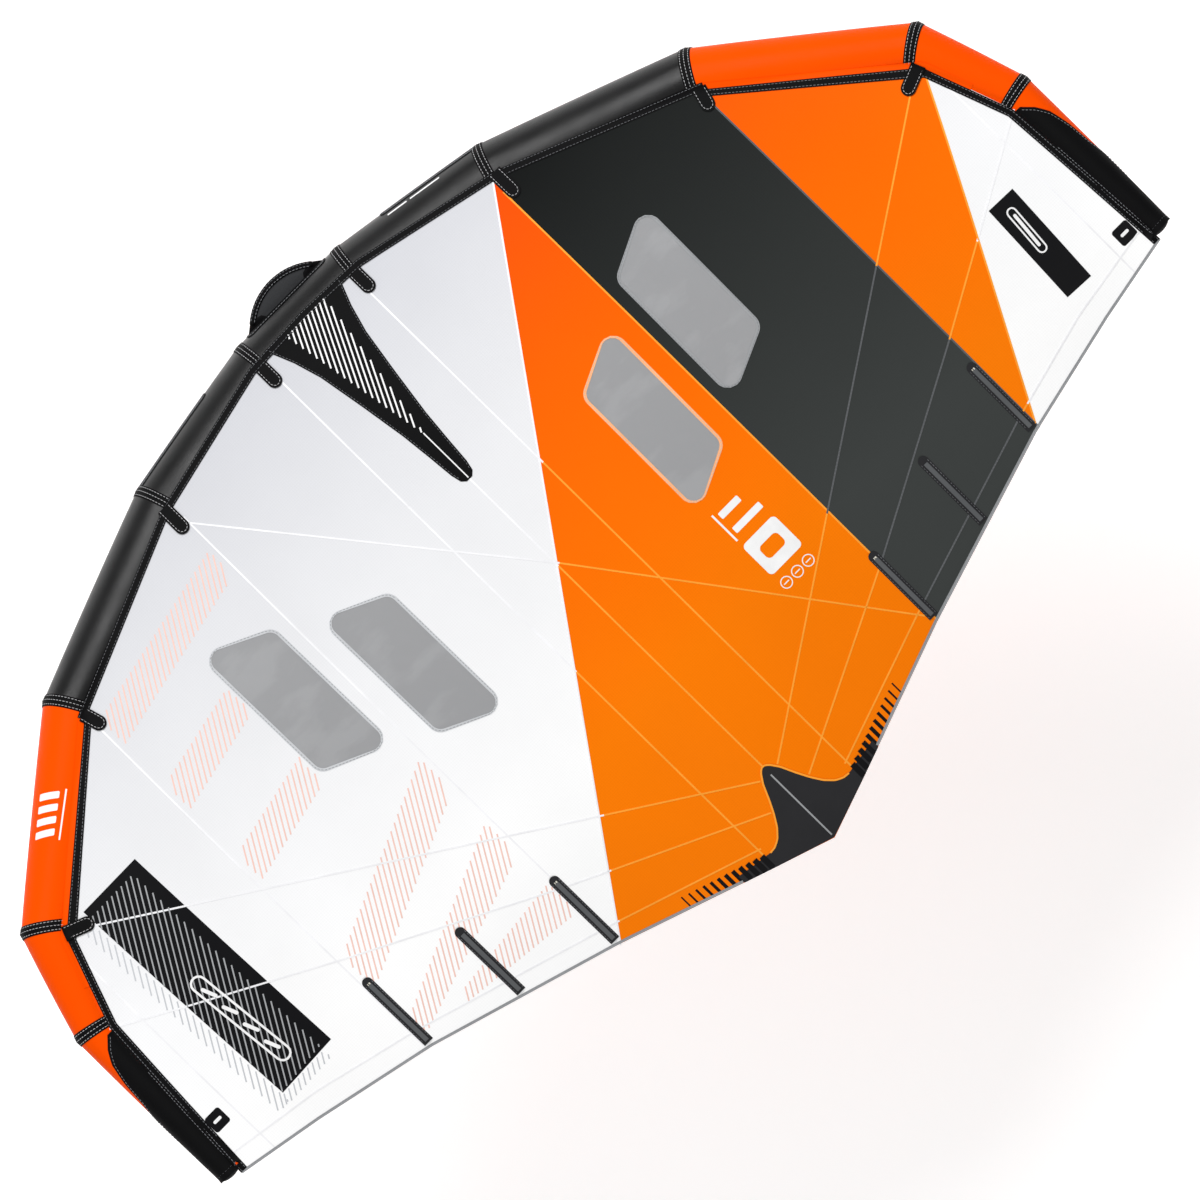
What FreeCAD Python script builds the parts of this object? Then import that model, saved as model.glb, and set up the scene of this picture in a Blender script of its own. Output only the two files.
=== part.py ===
"""Inflatable hand wing for wing foiling, nominal 5 square metre size.

Millimetres.  The origin is the middle of the front handle's grip.  +Z is up, towards the
top of the canopy, -Y is forward, towards the leading edge, and +X is the left side as the
rider sees it.  A setback is a distance behind the leading edge at the middle of the wing,
and a span is a distance from the plane of symmetry.
"""
import FreeCAD
import Part
import math
import os
import sys

Vector = FreeCAD.Vector
Rotation = FreeCAD.Rotation
Placement = FreeCAD.Placement

doc = FreeCAD.newDocument("hand_wing")

# ---------------------------------------------------------------- driving dimensions
DRIVING = {
    # leading edge tube: front edge at each joint between its straight segments
    "nose_to_grip": 525,
    "joint_span_a": 168, "joint_setback_a": 0, "joint_rise_a": 0, "joint_diameter_a": 208,
    "joint_span_b": 588, "joint_setback_b": 72, "joint_rise_b": 42, "joint_diameter_b": 195,
    "joint_span_c": 1102, "joint_setback_c": 271, "joint_rise_c": 146, "joint_diameter_c": 160,
    "joint_span_d": 1531, "joint_setback_d": 629, "joint_rise_d": 268, "joint_diameter_d": 125,
    "joint_span_e": 1615, "joint_setback_e": 905, "joint_rise_e": 300, "joint_diameter_e": 94,
    "joint_span_f": 1611, "joint_setback_f": 1378, "joint_rise_f": 310, "joint_diameter_f": 62,
    "tube_wall": 0.8,
    "bladder_gap": 1.0,
    "bladder_wall": 0.5,
    "end_dome": 14,
    # canopy: its front seam on the tube, and its trailing edge
    "seam_span_a": 180, "seam_setback_a": 77, "seam_height_a": 98,
    "seam_span_b": 564, "seam_setback_b": 166, "seam_height_b": 98,
    "seam_span_c": 1056, "seam_setback_c": 372, "seam_height_c": 79.5,
    "seam_span_d": 1454, "seam_setback_d": 710, "seam_height_d": 57.5,
    "seam_span_e": 1534, "seam_setback_e": 934, "seam_height_e": 33,
    "seam_span_f": 1562, "seam_setback_f": 1403, "seam_height_f": 18,
    "seam_setback_middle": 70,
    "tail_setback_middle": 1858,
    "tail_span_a": 151, "tail_setback_a": 1807,
    "tail_span_b": 545, "tail_setback_b": 1668,
    "tail_span_c": 1032, "tail_setback_c": 1517,
    "tail_span_d": 1344, "tail_setback_d": 1445,
    "tail_height_middle": 20,
    "tail_height_tip": 16,
    "nose_slope": 0.36,
    "tail_slope": 0.25,
    "cloth_thickness": 3,
    "trim_thickness": 1.2,
    "trim_gap": 0.1,
    # panel seams
    "inner_seam_span": 151,
    "window_seam_span": 547,
    "outer_seam_span": 1046,
    # windows, rounded parallelograms
    "window_corner": 29,
    # strut under the canopy
    "strut_nose_setback": 150,
    "strut_tail_setback": 1760,
    "strut_nose_diameter": 132,
    "strut_tail_diameter": 56,
    # battens in their pockets
    "batten_width": 8,
    "batten_thickness": 1.8,
    "pocket_width": 28,
    "pocket_thickness": 3,
    "pocket_length": 218,
    # bands and tabs over the joints
    "band_width": 30,
    "band_thickness": 1.0,
    "tab_width": 38,
    # leading edge handle
    "bow_half_width": 100,
    "bow_reach": 50,
    "bow_radius": 8,
    "bow_web_thickness": 5,
    "bow_clearance": 6,
    "bow_root_radius": 4,
    # strut handles
    "grip_radius": 17,
    "grip_core_radius": 6,
    "grip_length": 304,
    "strap_width": 36,
    "strap_neck_radius": 6,
    "strap_taper": 28,
    "strap_foot": 18,
    "strap_thickness": 4,
    "strap_pitch": 310,
    "anchor_width": 64,
    "anchor_length": 56,
    "hinge_drop": 12,
    "rear_grip_setback": 1105,
    # valve
    "valve_span": 112,
    "valve_flange_radius": 29,
    "valve_radius": 17,
    "valve_bore": 9.5,
    "valve_height": 18,
    "valve_floor": 4,
    "poppet_radius": 2.5,
    "poppet_button": 7,
    "cap_thickness": 4,
    "cap_pin_radius": 1.2,
    # leash loop
    "loop_bore": 8,
    "loop_wall": 2,
    "loop_width": 25,
    # hose fittings
    "fitting_radius": 13,
    "fitting_bore": 6,
    "fitting_length": 26,
    "strut_port_setback": 260,
    # scuff pads
    "scuff_inner_span": 290,
    "scuff_outer_span": 560,
    # reinforcement behind the leading edge handle
    "nose_patch_half_width": 128,
    "nose_patch_height": 84,
}

sheet = doc.addObject("Spreadsheet::Sheet", "Dimensions")
for row, (alias, value) in enumerate(DRIVING.items(), start=1):
    sheet.set(f"A{row}", alias.replace("_", " "))
    sheet.set(f"B{row}", str(value))
    sheet.setAlias(f"B{row}", alias)
doc.recompute()


def dim(alias):
    """The value of a driving dimension."""
    return float(sheet.get(alias))


def listed(prefix, letters):
    """The values of a run of dimensions that end in a, b, c and so on."""
    return [dim(f"{prefix}_{letter}") for letter in letters]


SIDES = {"left": 1, "right": -1}
NOSE_Y = -dim("nose_to_grip")
TALL = 900.0


def place_y(setback):
    """The Y of a setback."""
    return NOSE_Y + setback


def interpolate(stations, values, at):
    """Straight-line interpolation, level beyond the last station."""
    if at <= stations[0]:
        return values[0]
    for (a, b), (low, high) in zip(zip(stations, stations[1:]), zip(values, values[1:])):
        if at <= b:
            return low + (high - low) * (at - a) / (b - a)
    return values[-1]


# ---------------------------------------------------------------- small builders
nodes = {}


def keep(node, item):
    """Name an object as a sub-part."""
    item.Label = node
    nodes[node] = item
    return item


def add(kind, name, **expressions):
    """A document object whose sizes are bound to the sheet."""
    item = doc.addObject(kind, name)
    for key, expression in expressions.items():
        item.setExpression(key, expression)
    return item


def cut(name, base, tool):
    item = doc.addObject("Part::Cut", name)
    item.Base = base
    item.Tool = tool
    return item


def common(name, *shapes):
    item = doc.addObject("Part::MultiCommon", name)
    item.Shapes = list(shapes)
    return item


def fuse(name, *shapes):
    item = doc.addObject("Part::MultiFuse", name)
    item.Shapes = list(shapes)
    return item


def group(name, *shapes):
    """Separate solids that share a node."""
    item = doc.addObject("Part::Compound", name)
    item.Links = list(shapes)
    return item


def mirrored(name, source):
    item = doc.addObject("Part::Mirroring", name)
    item.Source = source
    item.Normal = Vector(1, 0, 0)
    return item


def polygon_edges(points, radius=0):
    """Lines round the points, with each corner rounded when a radius is given."""
    if not radius:
        return [Part.LineSegment(a, b) for a, b in zip(points, points[1:] + points[:1])]
    count = len(points)
    arcs = []
    for i, corner in enumerate(points):
        back = (points[i - 1] - corner).normalize()
        on = (points[(i + 1) % count] - corner).normalize()
        half = back.getAngle(on) / 2
        reach = radius / math.tan(half)
        middle = (back + on).normalize()
        bulge = corner + middle * (radius / math.sin(half) - radius)
        arcs.append((corner + back * reach, bulge, corner + on * reach))
    edges = []
    for i, (start, bulge, end) in enumerate(arcs):
        edges.append(Part.Arc(start, bulge, end))
        edges.append(Part.LineSegment(end, arcs[(i + 1) % count][0]))
    return edges


def outline(name, edges):
    """A tall prism over a closed outline in plan."""
    sketch = doc.addObject("Sketcher::SketchObject", name + "_outline")
    for edge in edges:
        sketch.addGeometry(edge)
    prism = doc.addObject("Part::Extrusion", name + "_prism")
    prism.Base = sketch
    prism.DirMode = "Custom"
    prism.Dir = Vector(0, 0, 1)
    prism.LengthFwd = TALL
    prism.LengthRev = TALL
    prism.Solid = True
    return prism


def plan(span, setback, side=1):
    """A plan point from a span and a setback."""
    return Vector(side * span, place_y(setback), 0)


def region(name, corners, radius=0):
    """A tall prism over (x, setback) corners."""
    return outline(name, polygon_edges([plan(x, setback) for x, setback in corners], radius))


# ---------------------------------------------------------------- leading edge tube
LETTERS = "abcdef"
joint_spans = listed("joint_span", LETTERS)
joint_setbacks = listed("joint_setback", LETTERS)
joint_rises = listed("joint_rise", LETTERS)
joint_radii = [d / 2 for d in listed("joint_diameter", LETTERS)]


def edge_direction(i):
    """Plan direction of the front edge from joint i - 1 to joint i; 0 is the middle segment."""
    if i == 0:
        return Vector(1, 0, 0)
    run = Vector(joint_spans[i] - joint_spans[i - 1], joint_setbacks[i] - joint_setbacks[i - 1], 0)
    return run.normalize()


def tube_centres():
    """Centreline joints on the left side, inside the front edge by a radius."""
    centres = []
    for i, radius in enumerate(joint_radii):
        before = edge_direction(i)
        after = edge_direction(min(i + 1, len(joint_radii) - 1))
        along = (before + after).normalize()
        inward = Vector(-along.y, along.x, 0)
        reach = radius / math.cos(before.getAngle(after) / 2)
        edge = plan(joint_spans[i], joint_setbacks[i])
        centres.append(edge + inward * reach + Vector(0, 0, joint_rises[i]))
    return centres


centres = tube_centres()
TUBE_Y = centres[0].y


def axis_direction(i):
    """Direction of the centreline that runs into joint i."""
    if i == 0:
        return Vector(1, 0, 0)
    return (centres[i] - centres[i - 1]).normalize()


def mitre(i):
    """Normal of the joint's mitre plane, its long axis and how much longer it is."""
    before = axis_direction(i)
    after = axis_direction(min(i + 1, len(centres) - 1))
    normal = (before + after).normalize()
    long_axis = Vector(0, 0, 1).cross(normal).normalize()
    return normal, long_axis, 1 / math.cos(before.getAngle(after) / 2)


def section(name, centre, normal, long_axis, stretch, radius):
    """An elliptical section; radius is an expression."""
    ring = add("Part::Ellipse", name, MinorRadius=radius, MajorRadius=f"({radius}) * {stretch:.6f}")
    turn = Rotation(long_axis, Vector(0, 0, 0), normal, "ZXY")
    ring.Placement = Placement(centre, turn)
    return ring


def flip(vector, side):
    return Vector(side * vector.x, vector.y, vector.z)


def joint_section(name, i, side, inset):
    """The tube's section at joint i, smaller by inset."""
    normal, long_axis, stretch = mitre(i)
    radius = f"Dimensions.joint_diameter_{LETTERS[i]} / 2 - ({inset})"
    centre = flip(centres[i], side)
    return section(name, centre, flip(normal, side) * side, flip(long_axis, side), stretch * 1.00001, radius)


def loft(name, sections, ruled=True):
    item = doc.addObject("Part::Loft", name)
    item.Sections = sections
    item.Solid = True
    item.Ruled = ruled
    return item


INSETS = {"outer": "0", "inner": "Dimensions.tube_wall"}
tube_sections = {}
for layer, inset in INSETS.items():
    for side_name, side in SIDES.items():
        for i in range(len(centres)):
            ring = joint_section(f"tube_{layer}_{side_name}_{LETTERS[i]}", i, side, inset)
            tube_sections[layer, side_name, i] = ring


def tube_segment(name, ends):
    """A hollow straight run of the tube between two joints."""
    skins = [loft(f"{name}_{layer}", [tube_sections[(layer,) + end] for end in ends]) for layer in INSETS]
    return skins[0], skins[1]


middle_outer, middle_inner = tube_segment("middle", [("right", 0), ("left", 0)])
for side_name in SIDES:
    for i in range(1, len(centres)):
        name = f"segment_{side_name}_{i}"
        outer, inner = tube_segment(name, [(side_name, i - 1), (side_name, i)])
        keep(f"le_{name}", cut(name, outer, inner))

# The air way under the valve passes through the middle segment and the bladder.
air_way = add("Part::Cylinder", "air_way", Radius="Dimensions.valve_bore")
air_way.Height = 60
air_way.Placement.Base = Vector(dim("valve_span"), TUBE_Y, -dim("joint_diameter_a") / 2 - 30)
keep("le_segment_centre", cut("segment_centre", cut("segment_blank", middle_outer, middle_inner), air_way))

# The bladder is one long tube of film inside the leading edge.
bladder_skins = []
for layer, inset in {"outside": "Dimensions.tube_wall + Dimensions.bladder_gap",
                     "inside": "Dimensions.tube_wall + Dimensions.bladder_gap + Dimensions.bladder_wall"}.items():
    rings = []
    for side_name, order in (("right", range(len(centres) - 1, -1, -1)), ("left", range(len(centres)))):
        for i in order:
            rings.append(joint_section(f"bladder_{layer}_{side_name}_{LETTERS[i]}", i, SIDES[side_name], inset))
    bladder_skins.append(loft(f"bladder_{layer}", rings))
bladder_tube = cut("bladder_tube", *bladder_skins)
keep("le_bladder", cut("bladder", bladder_tube, air_way))


# Each tip is closed by a shallow dome of cloth.
def tip_dome(side_name):
    side = SIDES[side_name]
    last = len(centres) - 1
    normal, long_axis, _ = mitre(last)
    dome = add("Part::Ellipsoid", f"dome_{side_name}_ball", Radius2="Dimensions.joint_diameter_f / 2",
               Radius1="Dimensions.end_dome", Radius3="Dimensions.joint_diameter_f / 2")
    dome.Angle1 = 0
    dome.Angle2 = 90
    outward = flip(normal, side)
    dome.Placement = Placement(flip(centres[last], side) + outward * 0.05,
                               Rotation(flip(long_axis, side), Vector(0, 0, 0), outward, "ZXY"))
    return dome


keep("tip_end_panels", group("tip_ends", *[tip_dome(side_name) for side_name in SIDES]))


def tube_envelope():
    """One solid round the whole leading edge, its bands and its end domes, to trim the cloth by."""
    last = len(centres) - 1
    normal, long_axis, _ = mitre(last)
    past = centres[last] + normal * (dim("end_dome") + ENVELOPE_LIFT)
    rings = []
    for side_name, order in (("right", range(last, -1, -1)), ("left", range(last + 1))):
        side = SIDES[side_name]
        run = [joint_section(f"envelope_{side_name}_{LETTERS[i]}", i, side, f"-{ENVELOPE_LIFT}") for i in order]
        end = section(f"envelope_{side_name}_end", flip(past, side), flip(normal, side) * side,
                      flip(long_axis, side), 1.00001, f"Dimensions.joint_diameter_f / 2 + {ENVELOPE_LIFT}")
        rings += [end] + run if side_name == "right" else run + [end]
    return loft("envelope", rings)


ENVELOPE_LIFT = 1.4
envelope = tube_envelope()

# ---------------------------------------------------------------- canopy surface
seam_spans = [0] + listed("seam_span", LETTERS)
seam_setbacks = [dim("seam_setback_middle")] + listed("seam_setback", LETTERS)
seam_heights = [dim("seam_height_a")] + listed("seam_height", LETTERS)
tail_spans = [0] + listed("tail_span", "abcd") + [seam_spans[-1]]
tail_setbacks = [dim("tail_setback_middle")] + listed("tail_setback", "abcd") + [seam_setbacks[-1]]
rise_spans = [0] + [centre.x for centre in centres[:-1]]
rise_values = [joint_rises[0]] + joint_rises[:-1]


def rise(span):
    """Height of the tube's centreline, which is the dihedral."""
    return interpolate(rise_spans, rise_values, span)


def front_setback(span):
    """A smooth front for the profiles that meets the seam inboard of the tip."""
    return dim("seam_setback_middle") + 302 * (span / 1056) ** 2 + 60 * (span / 1454) ** 12


def canopy_height(span, share):
    """Height of the cloth's underside at a share of the chord behind the front."""
    chord = interpolate(tail_spans, tail_setbacks, span) - front_setback(span)
    tip = span / seam_spans[-1]
    tail = dim("tail_height_middle") + (dim("tail_height_tip") - dim("tail_height_middle")) * tip
    level = interpolate(seam_spans, seam_heights, span) * (1 - share) + tail * share
    fade = 1 - 0.45 * tip ** 2
    bow = dim("nose_slope") * share * (1 - share) ** 2 + dim("tail_slope") * share ** 2 * (1 - share)
    return rise(span) + level + chord * fade * bow


def canopy_face():
    """The cloth's underside as one smooth surface through chordwise profiles."""
    reach = seam_spans[-1] + 14
    columns = 33
    shares = [-0.06, 0, 0.05, 0.12, 0.22, 0.34, 0.47, 0.6, 0.73, 0.86, 1.0, 1.06]
    grid = []
    for column in range(columns):
        x = -reach + 2 * reach * column / (columns - 1)
        span = min(abs(x), seam_spans[-1])
        front = front_setback(span)
        chord = interpolate(tail_spans, tail_setbacks, span) - front
        grid.append([Vector(x, place_y(front + chord * s), canopy_height(span, s)) for s in shares])
    surface = Part.BSplineSurface()
    surface.interpolate(grid)
    return surface.toShape()


def layer_slab(name, lift, thickness):
    """A layer of cloth that lies lift above the canopy's underside."""
    face = doc.addObject("Part::Feature", name + "_face")
    face.Shape = cloth_face
    face.Placement.Base = Vector(0, 0, lift)
    slab = add("Part::Extrusion", name + "_slab", LengthFwd=thickness)
    slab.Base = face
    slab.DirMode = "Custom"
    slab.Dir = Vector(0, 0, 1)
    return slab


cloth_face = canopy_face()
cloth = dim("cloth_thickness")
gap = dim("trim_gap")
canopy_slab = layer_slab("canopy", 0, "Dimensions.cloth_thickness")
trim_slab = layer_slab("trim", cloth + gap, "Dimensions.trim_thickness")
pocket_slab = layer_slab("pocket", cloth + gap, "Dimensions.pocket_thickness")
batten_slab = layer_slab("batten", cloth + gap, "Dimensions.batten_thickness")

front_edge = list(zip(seam_spans, seam_setbacks))
tail_edge = list(zip(tail_spans, tail_setbacks))
planform_points = [(0, seam_setbacks[0])] + front_edge[1:] + tail_edge[-2::-1]
planform_points += [(-x, s) for x, s in tail_edge[1:-1]] + [(-x, s) for x, s in front_edge[:0:-1]]
planform = region("planform", planform_points)

# ---------------------------------------------------------------- strut
def nose_cylinder(name, growth, half_width):
    """A cylinder about the middle segment's axis, larger than the tube by growth."""
    item = add("Part::Cylinder", name, Radius=f"Dimensions.joint_diameter_a / 2 + {growth}")
    item.Height = 2 * half_width
    axis_start = Vector(-half_width, TUBE_Y, dim("joint_rise_a"))
    item.Placement = Placement(axis_start, Rotation(Vector(0, 1, 0), 90))
    return item


def strut_diameter(setback):
    share = (setback - dim("strut_nose_setback")) / (dim("strut_tail_setback") - dim("strut_nose_setback"))
    bulge = 14 * math.sin(math.pi * min(share * 1.6, 1))
    return dim("strut_nose_diameter") * (1 - share) + dim("strut_tail_diameter") * share + bulge


def middle_height(setback):
    share = (setback - seam_setbacks[0]) / (tail_setbacks[0] - seam_setbacks[0])
    return canopy_height(0, share)


def strut_centre(setback):
    """The strut hangs just under the canopy along the middle."""
    return Vector(0, place_y(setback), middle_height(setback) - strut_diameter(setback) / 2 - 2)


STRUT_STATIONS = [150, 330, 560, 820, 1080, 1340, 1580, 1760]


def strut_skin(name, inset):
    rings = []
    for index, setback in enumerate(STRUT_STATIONS):
        slope = (strut_centre(setback + 20) - strut_centre(setback - 20)).normalize()
        rings.append(section(f"{name}_{index}", strut_centre(setback), slope, Vector(1, 0, 0), 1.00001,
                             f"{strut_diameter(setback) / 2:.3f} - ({inset})"))
    return loft(name, rings, ruled=False)


nose_tube = nose_cylinder("nose_clearance", 1.2, 160)
strut_outer = strut_skin("strut_outer", "0")
strut_hollow = cut("strut_hollow", strut_outer, strut_skin("strut_inner", "Dimensions.tube_wall"))
strut_bladder_tube = cut("strut_bladder_tube",
                         strut_skin("strut_bladder_out", "Dimensions.tube_wall + Dimensions.bladder_gap"),
                         strut_skin("strut_bladder_in",
                                    "Dimensions.tube_wall + Dimensions.bladder_gap + Dimensions.bladder_wall"))
keep("strut", cut("strut_tube", strut_hollow, nose_tube))
keep("strut_bladder", cut("strut_bladder_trimmed", strut_bladder_tube, nose_tube))
tail_normal = (strut_centre(1760) - strut_centre(1740)).normalize()
tail_dome = add("Part::Ellipsoid", "strut_tail_dome", Radius2="Dimensions.strut_tail_diameter / 2",
                Radius1="Dimensions.end_dome", Radius3="Dimensions.strut_tail_diameter / 2")
tail_dome.Angle1 = 0
tail_dome.Angle2 = 90
tail_dome.Placement = Placement(strut_centre(1760) + tail_normal * 0.05,
                                Rotation(Vector(1, 0, 0), Vector(0, 0, 0), tail_normal, "ZXY"))
keep("strut_end_panel", tail_dome)
strut_outer_grown = strut_skin("strut_grown", "-0.2")
canopy_whole = common("canopy_whole", canopy_slab, planform)
canopy_cloth = cut("canopy_cloth", cut("canopy_off_tube", canopy_whole, envelope), strut_outer_grown)

# ---------------------------------------------------------------- windows
inner_seam = dim("inner_seam_span")
window_seam = dim("window_seam_span")
outer_seam = dim("outer_seam_span")
corner = dim("window_corner")
INNER_WINDOW = [(331, 684), (490, 607), (486, 996), (328, 1073)]
OUTER_WINDOW = [(588, 545), (754, 463), (749, 862), (583, 938)]
window_prisms = {}
for place, corners in (("inner", INNER_WINDOW), ("outer", OUTER_WINDOW)):
    for side_name, side in SIDES.items():
        name = f"window_{place}_{side_name}"
        prism = region(name, [(side * x, s) for x, s in corners], corner)
        window_prisms[name] = prism
        keep(name, common(name + "_pane", canopy_slab, prism))

# ---------------------------------------------------------------- canopy panels
FAR = 2000
# The colour line runs from the right joint b across to the left side's trailing edge.
LINE_AT_WINDOW_SEAM = {"right": 166, "left": 1672}


def line_setback(x):
    """Setback of the slanted seam at x."""
    share = (x + window_seam) / (2 * window_seam)
    return LINE_AT_WINDOW_SEAM["right"] * (1 - share) + LINE_AT_WINDOW_SEAM["left"] * share


def panel(name, corners, *windows):
    cloth_panel = common(name + "_cloth", canopy_cloth, region(name, corners))
    for index, window in enumerate(windows):
        cloth_panel = cut(f"{name}_opening_{index}", cloth_panel, window_prisms[window])
    keep(name, cloth_panel)


bounds = [window_seam, inner_seam, -inner_seam, -window_seam]
places = ["left", "centre", "right"]
front_windows = {"left": ["window_inner_left"], "centre": [], "right": []}
rear_windows = {"left": [], "centre": [], "right": ["window_inner_right"]}
for place, a, b in zip(places, bounds, bounds[1:]):
    split_a = (a, line_setback(a))
    split_b = (b, line_setback(b))
    panel(f"canopy_front_{place}", [(a, -FAR), split_a, split_b, (b, -FAR)], *front_windows[place])
    panel(f"canopy_rear_{place}", [split_a, (a, FAR), (b, FAR), split_b], *rear_windows[place])

panel("canopy_outer_left", [(window_seam, -FAR), (window_seam, FAR), (outer_seam, FAR), (outer_seam, -FAR)],
      "window_outer_left")
panel("canopy_tip_left", [(outer_seam, -FAR), (outer_seam, FAR), (FAR, FAR), (FAR, -FAR)])
panel("canopy_outer_right", [(-window_seam, -FAR), (-window_seam, FAR), (-outer_seam, FAR), (-outer_seam, -FAR)],
      "window_outer_right")
# The right tip is two panels that meet on a slanted line from joint d to the trailing edge.
SLANT_FRONT = (-1457, 710)
SLANT_REAR = (-outer_seam, 1500)
panel("canopy_wedge_right", [(-outer_seam, -FAR), SLANT_REAR, SLANT_FRONT, (-1457, -FAR)])
panel("canopy_tip_right", [SLANT_REAR, (-outer_seam, FAR), (-FAR, FAR), (-FAR, -FAR), (-1457, -FAR), SLANT_FRONT])

# ---------------------------------------------------------------- patches on the canopy
LE_PATCH = [(125, 60), (78, 200), (58, 320), (40, 440), (24, 600), (20, 626)]
patch_points = LE_PATCH + [(-x, s) for x, s in reversed(LE_PATCH)]
le_patch = common("le_patch", trim_slab, region("le_patch", patch_points))
keep("le_centre_patch", cut("le_patch_off_tube", le_patch, envelope))

TE_PATCH = [(8, 1616), (30, 1642), (62, 1710), (100, 1762), (135, 1772), (230, 1760)]
tail_points = TE_PATCH + [(230, FAR), (-230, FAR)] + [(-x, s) for x, s in reversed(TE_PATCH)]
keep("te_centre_patch", common("te_patch", trim_slab, region("te_patch", tail_points), planform))

HEM = 12
HEM_ENDS = (235, 1538)
hem_stations = [HEM_ENDS[0]] + [x for x, _ in tail_edge[2:-1]] + [HEM_ENDS[1]]
hem_edge = [(x, interpolate(tail_spans, tail_setbacks, x)) for x in hem_stations]
hem_points = hem_edge + [(x, s - HEM) for x, s in reversed(hem_edge)]
hem_left = common("hem_left", trim_slab, region("hem", hem_points))
keep("te_hem", group("hem", hem_left, mirrored("hem_right", hem_left)))

# Battens lie in sewn pockets at the trailing edge.
POCKET_INSET = 14
ROD_INSETS = (15, 8)
batten_parts = []
pocket_parts = []
for span in (window_seam, 792, 1032):
    end = interpolate(tail_spans, tail_setbacks, span) - POCKET_INSET
    start = end - dim("pocket_length")
    wide = dim("pocket_width") / 2
    slim = dim("batten_width") / 2
    pocket_box = [(span - wide, start), (span + wide, start), (span + wide, end), (span - wide, end)]
    rod_start = start + ROD_INSETS[0]
    rod_end = end - ROD_INSETS[1]
    rod_box = [(span - slim, rod_start), (span + slim, rod_start), (span + slim, rod_end), (span - slim, rod_end)]
    rod_prism = region(f"batten_{span:.0f}", rod_box)
    rod = common(f"rod_{span:.0f}", batten_slab, rod_prism)
    pocket_blank = common(f"pocket_blank_{span:.0f}", pocket_slab, region(f"pocket_{span:.0f}", pocket_box, 9))
    pocket = cut(f"pocket_{span:.0f}", pocket_blank, rod)
    batten_parts += [rod, mirrored(f"rod_{span:.0f}_right", rod)]
    pocket_parts += [pocket, mirrored(f"pocket_{span:.0f}_right", pocket)]
keep("battens", group("batten_group", *batten_parts))
keep("batten_pockets", group("pocket_group", *pocket_parts))


# ---------------------------------------------------------------- bands and tabs at the joints
def band_ring(name, i, side, lift):
    """The band's section on each side of joint i and on its mitre, as one skin."""
    rings = []
    reach = dim("band_width") / 2
    radius = joint_radii[i]
    normal, long_axis, stretch = mitre(i)
    before = axis_direction(i)
    after = axis_direction(i + 1)
    slope_before = (radius - joint_radii[i - 1]) / (centres[i] - centres[i - 1]).Length if i else 0
    slope_after = (joint_radii[i + 1] - radius) / (centres[i + 1] - centres[i]).Length
    stops = [(-reach, before, radius - slope_before * reach),
             (0, before, radius),
             (reach, after, radius + slope_after * reach)]
    for index, (offset, along, size) in enumerate(stops):
        centre = centres[i] + along * offset
        ring = section(f"{name}_{index}", flip(centre, side), flip(normal, side) * side, flip(long_axis, side),
                       stretch * 1.00001, f"{size:.4f} + {lift}")
        rings.append(ring)
    return loft(name, rings)


TAB_TIP = 18
TAB_ENDS = {0: [(160, 77), (160, 125)], 1: [(566, 150), (566, 214)], 2: [(1050, 362), (1038, 404)],
            3: [(1452, 700), (1396, 722)]}
tab_prisms = {side_name: [] for side_name in SIDES}
for i in range(5):
    rings = []
    for side_name, side in SIDES.items():
        tag = f"band_{LETTERS[i]}_{side_name}"
        ring = cut(tag + "_ring", band_ring(tag + "_out", i, side, "Dimensions.band_thickness + 0.2"),
                   band_ring(tag + "_in", i, side, "0.2"))
        rings.append(ring)
        if i in TAB_ENDS:
            (x_a, s_a), (x_b, s_b) = TAB_ENDS[i]
            run = Vector(x_b - x_a, s_b - s_a, 0).normalize()
            across = Vector(-run.y, run.x, 0) * (dim("tab_width") / 2)
            first = plan(x_a, s_a)
            last = plan(x_b, s_b)
            points = [first + across, last + across, last + run * TAB_TIP, last - across, first - across]
            points = [flip(point, side) for point in points]
            prism = outline(tag + "_tab", polygon_edges(points))
            tab_prisms[side_name].append(prism)
            rings.append(cut(tag + "_tab", common(tag + "_tab_cloth", trim_slab, prism), envelope))
    keep(f"joint_bands_{i + 1}", group(f"bands_{LETTERS[i]}", *rings))

# A flap of dark cloth runs behind the orange segments and the tips.
FLAP = 20
flap_front = front_edge[3:]
flap_back = [(front_edge[3][0] - 4, front_edge[3][1] + FLAP), (front_edge[4][0] - 14, front_edge[4][1] + FLAP),
             (front_edge[5][0] - FLAP, front_edge[5][1] + 4), (front_edge[6][0] - FLAP, front_edge[6][1])]
flap_left = common("flap_left", trim_slab, region("flap", flap_front + flap_back[::-1]), planform)
for index, prism in enumerate([envelope] + tab_prisms["left"][2:]):
    flap_left = cut(f"flap_trimmed_{index}", flap_left, prism)
keep("le_flaps", group("flaps", flap_left, mirrored("flap_right", flap_left)))

def slab(name, low, high):
    """A wide flat box between two heights, to trim with."""
    box = add("Part::Box", name)
    box.Length = 2 * SLAB_REACH
    box.Width = 2 * SLAB_REACH
    box.Height = high - low
    box.Placement.Base = Vector(-SLAB_REACH, -SLAB_REACH, low)
    return box


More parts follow.
